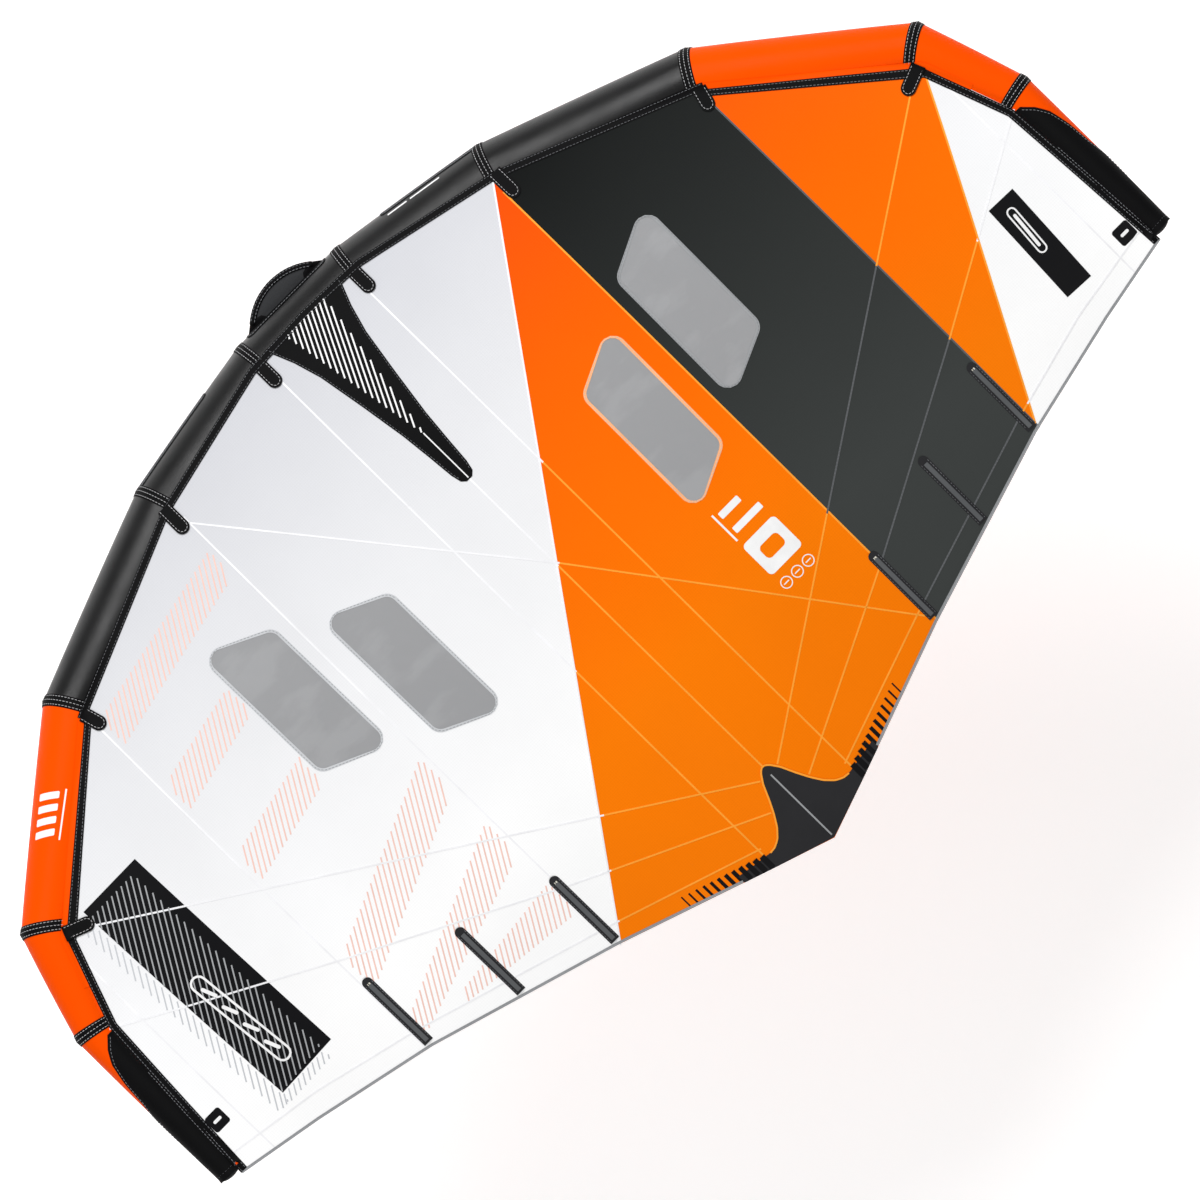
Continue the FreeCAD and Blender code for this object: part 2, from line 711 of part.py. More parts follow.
# Black cloth covers the top of the last segment of the tube.
SLAB_REACH = 2000
COVER_LIFTS = (("out", -1.1), ("in", -0.2))
COVER_PLAN = ((1553, 955), (1604, 955), (1606, 1130), (1640, 1180), (1640, FAR), (1590, FAR), (1566, 1378))
COVER_DEPTH = 8     # how far the cover reaches below the middle of the tube
cover_parts = []
for side_name, side in SIDES.items():
    tag = f"tip_cover_{side_name}"
    last = len(centres) - 1
    skins = []
    for layer, lift in COVER_LIFTS:
        ends = [joint_section(f"{tag}_{layer}_{i}", i, side, str(lift)) for i in (last - 1, last)]
        skins.append(loft(f"{tag}_{layer}", ends))
    shell = cut(tag + "_shell", *skins)
    shape = region(tag, [(side * x, s) for x, s in COVER_PLAN])
    low = joint_rises[-2] - COVER_DEPTH
    top_half = slab(tag + "_top", low, low + 400)
    cover_parts.append(common(tag + "_cover", shell, shape, top_half))
keep("tip_covers", group("tip_cover_pair", *cover_parts))

# Scuff pads protect the front of the tube on either side of the nose.
PAD_LIFTS = (("out", -1.6), ("in", -0.3))
PAD_FRONT = -40
PAD_REARS = (50, 95)
PAD_BOTTOM, PAD_TOP = -40, 35
pad_parts = []
for side_name, side in SIDES.items():
    tag = f"scuff_{side_name}"
    skins = []
    for layer, lift in PAD_LIFTS:
        ends = [joint_section(f"{tag}_{layer}_{i}", i, side, str(lift)) for i in (0, 1)]
        skins.append(loft(f"{tag}_{layer}", ends))
    shell = cut(tag + "_shell", *skins)
    near, far = dim("scuff_inner_span"), dim("scuff_outer_span")
    box = [(side * x, s) for x, s in ((near, PAD_FRONT), (far, PAD_FRONT), (far, PAD_REARS[1]), (near, PAD_REARS[0]))]
    low = slab(tag + "_low", PAD_BOTTOM, PAD_TOP)
    pad_parts.append(common(tag + "_pad", shell, region(tag, box), low))
keep("scuff_pads", group("scuff_pair", *pad_parts))


# ---------------------------------------------------------------- strut handles
def strut_underside(setback):
    return strut_centre(setback).z - strut_diameter(setback) / 2


def strap_body(name, drop):
    """A flat strap with its narrow root at the hinge line and an eye for the grip's core."""
    neck = dim("strap_neck_radius")
    foot = dim("strap_foot")
    wide = dim("strap_width") / 2
    taper = dim("strap_taper")
    body = doc.addObject("PartDesign::Body", name)
    plane = [feature for feature in body.Origin.OriginFeatures if feature.Role == "XZ_Plane"][0]
    sketch = body.newObject("Sketcher::SketchObject", name + "_sketch")
    sketch.AttachmentSupport = [(plane, "")]
    sketch.MapMode = "FlatFace"
    corners = [Vector(neck, 0, 0), Vector(wide, -taper, 0), Vector(wide, -drop, 0),
               Vector(-wide, -drop, 0), Vector(-wide, -taper, 0), Vector(-neck, 0, 0)]
    for a, b in zip(corners[:3], corners[1:3]):
        sketch.addGeometry(Part.LineSegment(a, b))
    sketch.addGeometry(Part.Arc(corners[2], Vector(0, -drop - foot, 0), corners[3]))
    for a, b in zip(corners[3:], corners[4:]):
        sketch.addGeometry(Part.LineSegment(a, b))
    sketch.addGeometry(Part.Arc(corners[-1], Vector(0, neck, 0), corners[0]))
    sketch.addGeometry(Part.Circle(Vector(0, -drop, 0), Vector(0, 0, 1), dim("grip_core_radius") + CORE_PLAY))
    pad = body.newObject("PartDesign::Pad", name + "_pad")
    pad.Profile = sketch
    pad.SideType = "Symmetric"
    pad.setExpression("Length", "Dimensions.strap_thickness")
    return body


CORE_PLAY = 0.05


def strut_handle(name, middle_setback):
    """A padded grip under the strut on two straps, which swing on a line under their anchors."""
    pitch = dim("strap_pitch")
    ends = [middle_setback - pitch / 2, middle_setback + pitch / 2]
    drop = dim("hinge_drop")
    points = [Vector(0, place_y(setback), strut_underside(setback) - drop) for setback in ends]
    along = (points[1] - points[0]).normalize()
    turn = Rotation(Vector(1, 0, 0), along, Vector(0, 0, 0), "YXZ")
    down = turn.multVec(Vector(0, 0, -1))
    middle = (points[0] + points[1]) * 0.5
    grip_drop = REAR_GRIP_DROP
    if name == "front":
        # the front grip's middle is the origin
        grip_drop = middle.z / along.y
        middle.y = -along.z * grip_drop
    start = middle + down * grip_drop - along * (dim("grip_length") / 2)
    lie = Rotation(Vector(1, 0, 0), Vector(0, 0, 0), along, "ZXY")
    pad = add("Part::Cylinder", f"{name}_pad", Radius="Dimensions.grip_radius", Height="Dimensions.grip_length")
    pad.Placement = Placement(start, lie)
    bore = add("Part::Cylinder", f"{name}_pad_bore", Radius="Dimensions.grip_core_radius + 0.05",
               Height="Dimensions.grip_length")
    bore.Placement = Placement(start, lie)
    round_pad = doc.addObject("Part::Fillet", f"{name}_pad_round")
    round_pad.Base = pad
    doc.recompute()
    round_pad.Edges = [(number, 8.0, 8.0) for number, edge in enumerate(pad.Shape.Edges, start=1)
                       if isinstance(edge.Curve, Part.Circle)]
    keep(f"{name}_handle_grip", cut(f"{name}_grip", round_pad, bore))
    core = add("Part::Cylinder", f"{name}_core", Radius="Dimensions.grip_core_radius",
               Height="Dimensions.strap_pitch + 2 * Dimensions.strap_thickness")
    core.Placement = Placement(middle + down * grip_drop - along * (pitch / 2 + dim("strap_thickness")), lie)
    keep(f"{name}_handle_core", core)
    straps = []
    anchors = []
    across = turn.multVec(Vector(1, 0, 0))
    for index, point in enumerate(points):
        root = middle + along * ((index - 0.5) * pitch)
        strap = strap_body(f"{name}_strap_{index}", grip_drop)
        strap.Placement = Placement(root, turn)
        straps.append(strap)
        block = add("Part::Box", f"{name}_anchor_{index}", Length="Dimensions.anchor_width",
                    Width="Dimensions.anchor_length", Height="Dimensions.anchor_width")
        corner_point = root - across * (dim("anchor_width") / 2) - along * (dim("anchor_length") / 2)
        block.Placement = Placement(corner_point - down * dim("strap_neck_radius"), turn)
        anchors.append(cut(f"{name}_anchor_{index}_shaped", block, strut_outer_grown))
    keep(f"{name}_handle_straps", group(f"{name}_strap_pair", *straps))
    return anchors


REAR_GRIP_DROP = 62
strut_bottom_band = strut_skin("strut_anchor_skin", "-3.2")
anchor_parts = []
for name, setback in (("front", dim("nose_to_grip")), ("rear", dim("rear_grip_setback"))):
    for index, anchor in enumerate(strut_handle(name, setback)):
        anchor_parts.append(common(f"{name}_anchor_{index}_pad", anchor, strut_bottom_band))
keep("handle_anchors", group("anchor_group", *anchor_parts))

# ---------------------------------------------------------------- leading edge handle
bow_y = NOSE_Y - dim("bow_clearance")
bow_half = dim("bow_half_width")
bow_reach = dim("bow_reach")
rim_radius = dim("bow_radius")


# A shallow arch ahead of the nose, from one foot to the other.
left_foot = Vector(bow_half, bow_y - rim_radius, 0)
arch_top = Vector(0, NOSE_Y - bow_reach, 0)
right_foot = Vector(-bow_half, bow_y - rim_radius, 0)


def sweep_tube(name, edges, radius):
    """A round tube along tangent edges."""
    path = Part.Wire(edges)
    start = path.Edges[0].Vertexes[0].Point
    heading = path.Edges[0].tangentAt(path.Edges[0].FirstParameter)
    circle = Part.Wire([Part.makeCircle(radius, start, heading)])
    item = doc.addObject("Part::Feature", name)
    item.Shape = path.makePipeShell([circle], True, False)
    return item


arch = Part.Arc(left_foot, arch_top, right_foot)
# the handle is sewn down along its hinge line through a round root at each foot
ROOT_LENGTH = 20
roots = []
for side_name, side in SIDES.items():
    root = add("Part::Cylinder", f"bow_root_{side_name}", Radius="Dimensions.bow_root_radius")
    root.Height = ROOT_LENGTH
    root.Placement = Placement(Vector(side * (bow_half + 2) - ROOT_LENGTH / 2, bow_y, 0), Rotation(Vector(0, 1, 0), 90))
    roots.append(root)
keep("le_handle_rim", fuse("bow_rim", sweep_tube("bow_arch", [arch.toShape()], rim_radius), *roots))
web_prism = outline("bow_web", [arch, Part.LineSegment(right_foot, left_foot)])
web_plate = add("Part::Box", "bow_web_plate", Height="Dimensions.bow_web_thickness")
web_plate.Length = 400
web_plate.Width = 200
web_plate.Placement.Base = Vector(-200, NOSE_Y - 150, -dim("bow_web_thickness") / 2)
web_blank = common("bow_web_blank", web_plate, web_prism)
keep("le_handle_web", cut("bow_web", web_blank, nodes["le_handle_rim"]))

patch_half = dim("nose_patch_half_width")
patch_ring = cut("nose_patch_ring", nose_cylinder("nose_patch_out", 1.5, patch_half),
                 nose_cylinder("nose_patch_in", 0.3, patch_half))
patch_front = add("Part::Box", "nose_patch_front", Height="Dimensions.nose_patch_height")
patch_front.Length = 400
patch_front.Width = 100
patch_front.Placement.Base = Vector(-200, NOSE_Y - 50, -dim("nose_patch_height") / 2)
keep("nose_patch", common("nose_patch_skin", patch_ring, patch_front))

# ---------------------------------------------------------------- valve under the nose
CAP_GAP = 0.3
CHEEK_OUT = 8.0
CHEEK_THICK = 2.7
valve_x = dim("valve_span")
tube_bottom = dim("joint_rise_a") - dim("joint_diameter_a") / 2
valve_base = Vector(valve_x, TUBE_Y, tube_bottom - dim("valve_height"))
flange = add("Part::Cylinder", "valve_flange", Radius="Dimensions.valve_flange_radius")
flange.Height = 12
flange.Placement.Base = Vector(valve_x, TUBE_Y, tube_bottom - 2.5)
barrel = add("Part::Cylinder", "valve_barrel", Radius="Dimensions.valve_radius", Height="Dimensions.valve_height")
barrel.Placement.Base = valve_base
cap_middle = valve_base.z - CAP_GAP - dim("cap_thickness") / 2
pin_y = TUBE_Y - dim("valve_radius") - 5
pin = add("Part::Cylinder", "cap_pin", Radius="Dimensions.cap_pin_radius")
pin.Height = 2 * CHEEK_OUT
pin.Placement = Placement(Vector(valve_x - CHEEK_OUT, pin_y, cap_middle), Rotation(Vector(0, 1, 0), 90))
cheeks = []
for index, start in enumerate((-CHEEK_OUT, CHEEK_OUT - CHEEK_THICK)):
    cheek = doc.addObject("Part::Box", f"cheek_{index}")
    cheek.Length = CHEEK_THICK
    cheek.Width = 6
    cheek.Height = tube_bottom - cap_middle + 3
    cheek.Placement.Base = Vector(valve_x + start, pin_y - 3, cap_middle - 2.5)
    cheeks.append(cheek)
valve_blank = fuse("valve_blank", flange, barrel, pin, *cheeks)
socket = add("Part::Cylinder", "valve_socket", Radius="Dimensions.valve_bore",
             Height="Dimensions.valve_height - Dimensions.valve_floor")
socket.Placement.Base = valve_base
guide = add("Part::Cylinder", "valve_guide", Radius="Dimensions.poppet_radius + 0.05")
guide.Height = 40
guide.Placement.Base = valve_base
tube_cut = nose_cylinder("tube_cut", 0.3, 160)
valve_bored = cut("valve_bored", cut("valve_socketed", valve_blank, socket), guide)
keep("valve_body", cut("valve_fitted", valve_bored, tube_cut))

stem = add("Part::Cylinder", "poppet_stem", Radius="Dimensions.poppet_radius",
           Height="Dimensions.valve_height - 4")
stem.Placement.Base = valve_base + Vector(0, 0, 9)
button = add("Part::Cylinder", "poppet_head", Radius="Dimensions.poppet_button")
button.Height = 2.5
button.Placement.Base = valve_base + Vector(0, 0, 8.5)
seat = add("Part::Cylinder", "poppet_seat", Radius="Dimensions.poppet_radius + 4")
seat.Height = 2
seat.Placement.Base = valve_base + Vector(0, 0, dim("valve_height") + 2)
keep("valve_poppet", fuse("poppet", stem, button, seat))

cap_disc = add("Part::Cylinder", "cap_disc", Radius="Dimensions.valve_radius", Height="Dimensions.cap_thickness")
cap_disc.Placement.Base = valve_base - Vector(0, 0, dim("cap_thickness") + CAP_GAP)
cap_ear = add("Part::Box", "cap_ear", Height="Dimensions.cap_thickness")
cap_ear.Length = 10
cap_ear.Width = 12
cap_ear.Placement.Base = Vector(valve_x - 5, pin_y - 2.5, cap_middle - dim("cap_thickness") / 2)
cap_bore = add("Part::Cylinder", "cap_bore", Radius="Dimensions.cap_pin_radius + 0.05")
cap_bore.Height = 2 * CHEEK_OUT
cap_bore.Placement = pin.Placement
keep("valve_cap", cut("cap", fuse("cap_blank", cap_disc, cap_ear), cap_bore))

# ---------------------------------------------------------------- leash loop under the nose
loop_out = dim("loop_bore") + dim("loop_wall")
loop_y = TUBE_Y - 45
loop_z = dim("joint_rise_a") - math.sqrt((dim("joint_diameter_a") / 2) ** 2 - 45 ** 2) - loop_out - 3.5
loop_ring = add("Part::Cylinder", "loop_ring", Radius="Dimensions.loop_bore + Dimensions.loop_wall",
                Height="Dimensions.loop_width")
loop_hole = add("Part::Cylinder", "loop_hole", Radius="Dimensions.loop_bore", Height="Dimensions.loop_width")
for item in (loop_ring, loop_hole):
    item.Placement = Placement(Vector(-dim("loop_width") / 2, loop_y, loop_z), Rotation(Vector(0, 1, 0), 90))
loop_foot = add("Part::Box", "loop_foot", Length="Dimensions.loop_width")
loop_foot.Width = 2 * loop_out + 44
loop_foot.Height = 60
loop_foot.Placement.Base = Vector(-dim("loop_width") / 2, loop_y - loop_out - 22, loop_z + loop_out - 2.5)
foot_skin = nose_cylinder("loop_skin", 4, 160)
foot = cut("loop_foot_shaped", common("loop_foot_skin", loop_foot, foot_skin), tube_cut)
keep("leash_loop", cut("loop_bored", fuse("loop_blank", loop_ring, foot), loop_hole))

# ---------------------------------------------------------------- hose fittings
FITTING_SUNK = 8
FITTING_BACK = 12
fitting_parts = []
strut_port = strut_centre(dim("strut_port_setback"))
strut_port.z = strut_underside(dim("strut_port_setback"))
fitting_places = {"tube": (Vector(-90, TUBE_Y, tube_bottom), tube_cut), "strut": (strut_port, strut_outer_grown)}
for name, (seat_point, clearance) in fitting_places.items():
    body = add("Part::Cylinder", f"fitting_{name}", Radius="Dimensions.fitting_radius",
               Height="Dimensions.fitting_length")
    bore = add("Part::Cylinder", f"fitting_{name}_bore", Radius="Dimensions.fitting_bore",
               Height=f"Dimensions.fitting_length - {FITTING_BACK}")
    for item in (body, bore):
        item.Placement.Base = seat_point - Vector(0, 0, dim("fitting_length") - FITTING_SUNK)
    fitting_parts.append(cut(f"fitting_{name}_shaped", cut(f"fitting_{name}_bored", body, bore), clearance))
keep("hose_fittings", group("fitting_pair", *fitting_parts))

# ---------------------------------------------------------------- checks and export
doc.recompute()
faults = []
for item in doc.Objects:
    if "Invalid" in item.State or "Error" in item.State:
        faults.append(f"{item.Name}: {item.State}")
for node, item in nodes.items():
    if item.Shape.isNull() or not item.Shape.isValid() or not item.Shape.Solids:
        faults.append(f"{node}: no valid solid")
if faults:
    sys.exit("\n".join(faults))

os.makedirs("parts", exist_ok=True)
for old in os.listdir("parts"):
    os.remove(os.path.join("parts", old))
for node, item in nodes.items():
    item.Shape.exportStep(f"parts/{node}.step")
print(len(nodes), "nodes")
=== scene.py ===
"""Looks of an inflatable hand wing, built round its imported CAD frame.

Metres, in the row frame: +Z up, -Y forward, +X to the rider's left.  A setback is a
distance behind the leading edge at the middle of the wing; a span is a distance from the
plane of symmetry.
"""
import math

import bmesh
import bpy
import numpy as np
from mathutils import Matrix, Vector, geometry


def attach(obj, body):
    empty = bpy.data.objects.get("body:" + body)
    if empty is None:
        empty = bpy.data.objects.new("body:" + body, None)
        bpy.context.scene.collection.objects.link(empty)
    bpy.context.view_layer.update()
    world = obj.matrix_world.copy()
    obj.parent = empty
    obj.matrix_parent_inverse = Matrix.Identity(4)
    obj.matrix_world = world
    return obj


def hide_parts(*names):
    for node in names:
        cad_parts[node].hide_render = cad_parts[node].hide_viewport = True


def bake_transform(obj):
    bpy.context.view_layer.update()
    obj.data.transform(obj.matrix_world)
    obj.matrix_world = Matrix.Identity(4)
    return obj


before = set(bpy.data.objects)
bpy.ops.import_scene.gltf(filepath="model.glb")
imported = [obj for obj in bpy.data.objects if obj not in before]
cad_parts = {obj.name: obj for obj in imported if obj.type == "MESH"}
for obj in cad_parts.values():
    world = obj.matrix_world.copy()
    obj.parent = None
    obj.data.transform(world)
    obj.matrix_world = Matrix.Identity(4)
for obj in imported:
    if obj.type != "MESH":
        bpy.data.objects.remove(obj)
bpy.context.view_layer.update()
NOSE_Y = -0.525
SIDES = {"left": 1, "right": -1}

# ------------------------------------------------------------------ shape of the wing
# Tube joints on one side: span, setback of the front edge, rise and radius.
JOINTS = np.array([
    (0.168, 0.000, 0.000, 0.1040),
    (0.588, 0.072, 0.042, 0.0975),
    (1.102, 0.271, 0.146, 0.0800),
    (1.531, 0.629, 0.268, 0.0625),
    (1.615, 0.905, 0.300, 0.0470),
    (1.611, 1.378, 0.310, 0.0310),
])
# Canopy seam on the tube: span, setback and height over the tube's centreline.
SEAM = np.array([
    (0.000, 0.070, 0.0980),
    (0.180, 0.077, 0.0980),
    (0.564, 0.166, 0.0980),
    (1.056, 0.372, 0.0795),
    (1.454, 0.710, 0.0575),
    (1.534, 0.934, 0.0330),
    (1.562, 1.403, 0.0180),
])
# Trailing edge: span and setback.
TAIL = np.array([
    (0.000, 1.858), (0.151, 1.807), (0.545, 1.668), (1.032, 1.517), (1.344, 1.445), (1.562, 1.403),
])
TIP = SEAM[-1, 0]
PANEL_SEAMS = [0.0, 0.151, 0.547, 1.046, TIP]
SMOOTHING = np.linspace(-0.05, 0.05, 7)


def level_run(stations, values, span):
    """Interpolation along the span with its corners eased."""
    span = np.abs(np.asarray(span, float))
    return np.mean([np.interp(np.abs(span + step), stations, values) for step in SMOOTHING], axis=0)


def unit(vector):
    vector = np.asarray(vector, float)
    return vector / np.linalg.norm(vector)


def edge_direction(i):
    """Plan direction of the front edge from joint i - 1 to joint i."""
    if i == 0:
        return np.array([1.0, 0.0])
    return unit(JOINTS[i, :2] - JOINTS[i - 1, :2])


def tube_centres():
    """Centreline joints on the left side, inside the front edge by a radius."""
    out = []
    for i, (span, setback, rise, radius) in enumerate(JOINTS):
        before = edge_direction(i)
        after = edge_direction(min(i + 1, len(JOINTS) - 1))
        along = unit(before + after)
        inward = np.array([-along[1], along[0]])
        reach = radius / math.cos(math.acos(min(before @ after, 1.0)) / 2)
        plan = np.array([span, NOSE_Y + setback]) + inward * reach
        out.append((plan[0], plan[1], rise))
    return np.array(out)


CENTRES = tube_centres()
RISE_SPANS = np.concatenate([[0], CENTRES[:-1, 0]])
RISES = np.concatenate([JOINTS[:1, 2], JOINTS[:-1, 2]])


def front_setback(span):
    return SEAM[0, 1] + 0.302 * (span / 1.056) ** 2 + 0.060 * (span / 1.454) ** 12


def tail_setback(span):
    return np.interp(np.abs(span), TAIL[:, 0], TAIL[:, 1])


def seam_setback(span):
    return np.interp(np.abs(span), SEAM[:, 0], SEAM[:, 1])


BILLOW = 0.030


def cloth_height(x, y):
    """Height of the middle of the canopy's cloth."""
    span = np.minimum(np.abs(x), TIP)
    front = front_setback(span)
    chord = tail_setback(span) - front
    share = np.clip((y - NOSE_Y - front) / chord, -0.06, 1.06)
    tip = span / TIP
    tail = 0.020 - 0.004 * tip
    level = level_run(SEAM[:, 0], SEAM[:, 2], span) * (1 - share) + tail * share
    bow = 0.36 * share * (1 - share) ** 2 + 0.25 * share ** 2 * (1 - share)
    height = level_run(RISE_SPANS, RISES, span) + level + chord * (1 - 0.45 * tip ** 2) * bow
    # each panel swells a little between its sewn seams
    inside = np.clip(4 * share * (1 - share), 0, 1)
    for a, b in zip(PANEL_SEAMS, PANEL_SEAMS[1:]):
        across = np.clip((span - a) / (b - a), 0, 1)
        height = height + BILLOW * (b - a) ** 2 * np.sin(np.pi * across) ** 2 * inside
    return height + 0.0015


def cloth_normal(x, y):
    step = 0.004
    dx = (cloth_height(x + step, y) - cloth_height(x - step, y)) / (2 * step)
    dy = (cloth_height(x, y + step) - cloth_height(x, y - step)) / (2 * step)
    normal = np.stack([-dx, -dy, np.ones_like(dx)], axis=-1)
    return normal / np.linalg.norm(normal, axis=-1, keepdims=True)


# ------------------------------------------------------------------ meshes
def piece(name, verts, faces, material, body="wing", nodes=(), slot=None, sharp=40):
    """A mesh object in the row frame that rides on a body."""
    mesh = bpy.data.meshes.new(name)
    mesh.from_pydata([tuple(v) for v in verts], [], [tuple(f) for f in faces])
    bm = bmesh.new()
    bm.from_mesh(mesh)
    bmesh.ops.recalc_face_normals(bm, faces=bm.faces)
    limit = math.radians(sharp)
    for edge in bm.edges:
        edge.smooth = edge.is_manifold and edge.calc_face_angle(math.pi) < limit
    for face in bm.faces:
        face.smooth = True
    bm.to_mesh(mesh)
    bm.free()
    mesh.materials.append(material)
    item = bpy.data.objects.new(name, mesh)
    bpy.context.scene.collection.objects.link(item)
    if body:
        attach(item, body)
    if nodes:
        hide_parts(*nodes)
    return item


class Build:
    """Collects the verts and faces of one piece."""

    def __init__(self):
        self.verts = []
        self.faces = []

    def add(self, verts, faces):
        base = len(self.verts)
        self.verts.extend([tuple(v) for v in verts])
        self.faces.extend([tuple(i + base for i in face) for face in faces])

    def piece(self, name, material, **how):
        return piece(name, self.verts, self.faces, material, **how)


def inside(points, loop):
    """Which points lie inside a closed loop."""
    x, y = points[:, 0], points[:, 1]
    result = np.zeros(len(points), bool)
    for (xa, ya), (xb, yb) in zip(loop, np.roll(loop, -1, axis=0)):
        crosses = (ya > y) != (yb > y)
        if yb != ya:
            result ^= crosses & (x < (xb - xa) * (y - ya) / (yb - ya) + xa)
    return result


def resample(loop, spacing):
    """Points along a closed loop, its corners kept."""
    out = []
    for a, b in zip(loop, np.roll(loop, -1, axis=0)):
        count = max(1, int(round(np.linalg.norm(b - a) / spacing)))
        for k in range(count):
            out.append(a + (b - a) * k / count)
    return np.array(out)


def distance_to(points, loop):
    """Distance of points from a loop's own points."""
    best = np.full(len(points), 1e9)
    for corner in loop:
        best = np.minimum(best, np.hypot(points[:, 0] - corner[0], points[:, 1] - corner[1]))
    return best


def fill(outline, holes=(), spacing=0.02):
    """Triangles over a plan outline with holes: points and triangles."""
    loops = [resample(np.asarray(loop, float), spacing) for loop in (outline, *holes)]
    low = loops[0].min(axis=0)
    high = loops[0].max(axis=0)
    xs = np.arange(low[0] + spacing / 2, high[0], spacing)
    ys = np.arange(low[1] + spacing / 2, high[1], spacing)
    grid = np.array([(x, y) for y in ys for x in xs]).reshape(-1, 2)
    if len(grid):
        keep = inside(grid, loops[0])
        for loop in loops[1:]:
            keep &= ~inside(grid, loop)
        grid = grid[keep]
        for loop in loops:
            grid = grid[distance_to(grid, loop) > 0.55 * spacing]
    points = np.vstack([*loops, grid])
    edges = []
    rings = []
    base = 0
    for loop in loops:
        ring = list(range(base, base + len(loop)))
        rings.append(ring)
        edges += list(zip(ring, ring[1:] + ring[:1]))
        base += len(loop)
    made = geometry.delaunay_2d_cdt([Vector(p) for p in points], edges, [], 0, 1e-7)
    flat = np.array([tuple(v) for v in made[0]])
    triangles = np.array([tuple(f) for f in made[2]])
    middles = flat[triangles].mean(axis=1)
    keep = inside(middles, loops[0])
    for loop in loops[1:]:
        keep &= ~inside(middles, loop)
    return flat, triangles[keep]


def boundary_edges(triangles):
    """Edges used once, in the order that their triangle has them."""
    once = {}
    for a, b, c in triangles:
        for edge in ((a, b), (b, c), (c, a)):
            key = tuple(sorted(edge))
            if key in once:
                once[key] = None
            else:
                once[key] = edge
    return [edge for edge in once.values() if edge]


def cloth_layer(build, outline, lift, thickness, holes=(), spacing=0.02, height=None):
    """A closed thin layer over a plan outline that follows the canopy, lift above its middle."""
    flat, triangles = fill(outline, holes, spacing)
    z = (height or cloth_height)(flat[:, 0], flat[:, 1]) + lift
    count = len(flat)
    top = np.column_stack([flat, z + thickness / 2])
    bottom = np.column_stack([flat, z - thickness / 2])
    faces = [tuple(t) for t in triangles]
    faces += [tuple(t[::-1] + count) for t in triangles]
    faces += [(b, a, a + count, b + count) for a, b in boundary_edges(triangles)]
    build.add(np.vstack([top, bottom]), faces)


def to_plan(points):
    """Plan points from (x, setback) pairs."""
    return np.array([(x, NOSE_Y + setback) for x, setback in points])


def rounded(points, radius, steps=6):
    """A closed plan outline with rounded corners."""
    points = np.asarray(points, float)
    out = []
    for i, corner in enumerate(points):
        back = unit(points[i - 1] - corner)
        on = unit(points[(i + 1) % len(points)] - corner)
        half = math.acos(np.clip(back @ on, -1, 1)) / 2
        reach = radius / math.tan(half)
        centre = corner + unit(back + on) * radius / math.sin(half)
        start = corner + back * reach - centre
        end = corner + on * reach - centre
        for k in range(steps + 1):
            out.append(centre + radius * unit(start * (1 - k / steps) + end * k / steps))
    return np.array(out)


def ribbon_outline(path, width):
    """The outline of a strip of a width along a plan path."""
    path = np.asarray(path, float)
    headings = np.gradient(path, axis=0)
    headings /= np.linalg.norm(headings, axis=1, keepdims=True)
    across = np.column_stack([-headings[:, 1], headings[:, 0]]) * width / 2
    return path + across, path - across


def ribbon(build, path, width, lift, thickness, step=0.02, height=None):
    """A closed strip along a plan path that follows the canopy."""
    path = walk(path, step)
    left, right = ribbon_outline(path, width)
    surface = height or cloth_height
    rows = []
    for edge in (left, right):
        z = surface(edge[:, 0], edge[:, 1]) + lift
        rows.append(np.column_stack([edge, z]))
    up = np.array([0, 0, thickness / 2])
    verts = np.vstack([rows[0] + up, rows[1] + up, rows[1] - up, rows[0] - up])
    build.add(verts, skin(4, len(path), closed=True, caps=True))


def skin(rows, columns, closed=True, caps=False):
    """Quads over rows of points, each row with the same number of columns."""
    faces = []
    for r in range(rows if closed else rows - 1):
        s = (r + 1) % rows
        for c in range(columns - 1):
            faces.append((r * columns + c, r * columns + c + 1, s * columns + c + 1, s * columns + c))
    if caps:
        faces.append(tuple(r * columns for r in range(rows)))
        faces.append(tuple(r * columns + columns - 1 for r in reversed(range(rows))))
    return faces


def walk(path, step):
    """Evenly spaced points along an open path, in two or three dimensions."""
    path = np.asarray(path, float)
    lengths = np.concatenate([[0], np.cumsum(np.linalg.norm(np.diff(path, axis=0), axis=1))])
    count = max(2, int(round(lengths[-1] / step)) + 1)
    at = np.linspace(0, lengths[-1], count)
    return np.column_stack([np.interp(at, lengths, path[:, k]) for k in range(path.shape[1])])


def stitches(build, points, normals, pitch=0.009, length=0.006, radius=0.0007):
    """Short raised threads along a line of surface points."""
    points = np.asarray(points, float)
    normals = np.asarray(normals, float)
    lengths = np.concatenate([[0], np.cumsum(np.linalg.norm(np.diff(points, axis=0), axis=1))])
    starts = np.arange(pitch / 2, lengths[-1] - length, pitch)

    def at(marks, data):
        return np.column_stack([np.interp(marks, lengths, data[:, k]) for k in range(3)])

    first = at(starts, points)
    last = at(starts + length, points)
    up = at(starts, normals)
    up /= np.linalg.norm(up, axis=1, keepdims=True)
    along = last - first
    along /= np.linalg.norm(along, axis=1, keepdims=True)
    side = np.cross(along, up)
    rows = []
    for share, size in ((0, 0.5), (0.3, 1), (0.7, 1), (1, 0.5)):
        middle = first * (1 - share) + last * share
        rows.append([middle + side * radius * size, middle + up * radius * 1.3 * size,
                     middle - side * radius * size, middle - up * radius * 0.6 * size])
    verts = np.array(rows).transpose(2, 1, 0, 3).reshape(-1, 3)
    pattern = skin(4, 4, closed=True, caps=True)
    faces = [tuple(v + 16 * k for v in face) for k in range(len(starts)) for face in pattern]
    build.add(verts, faces)


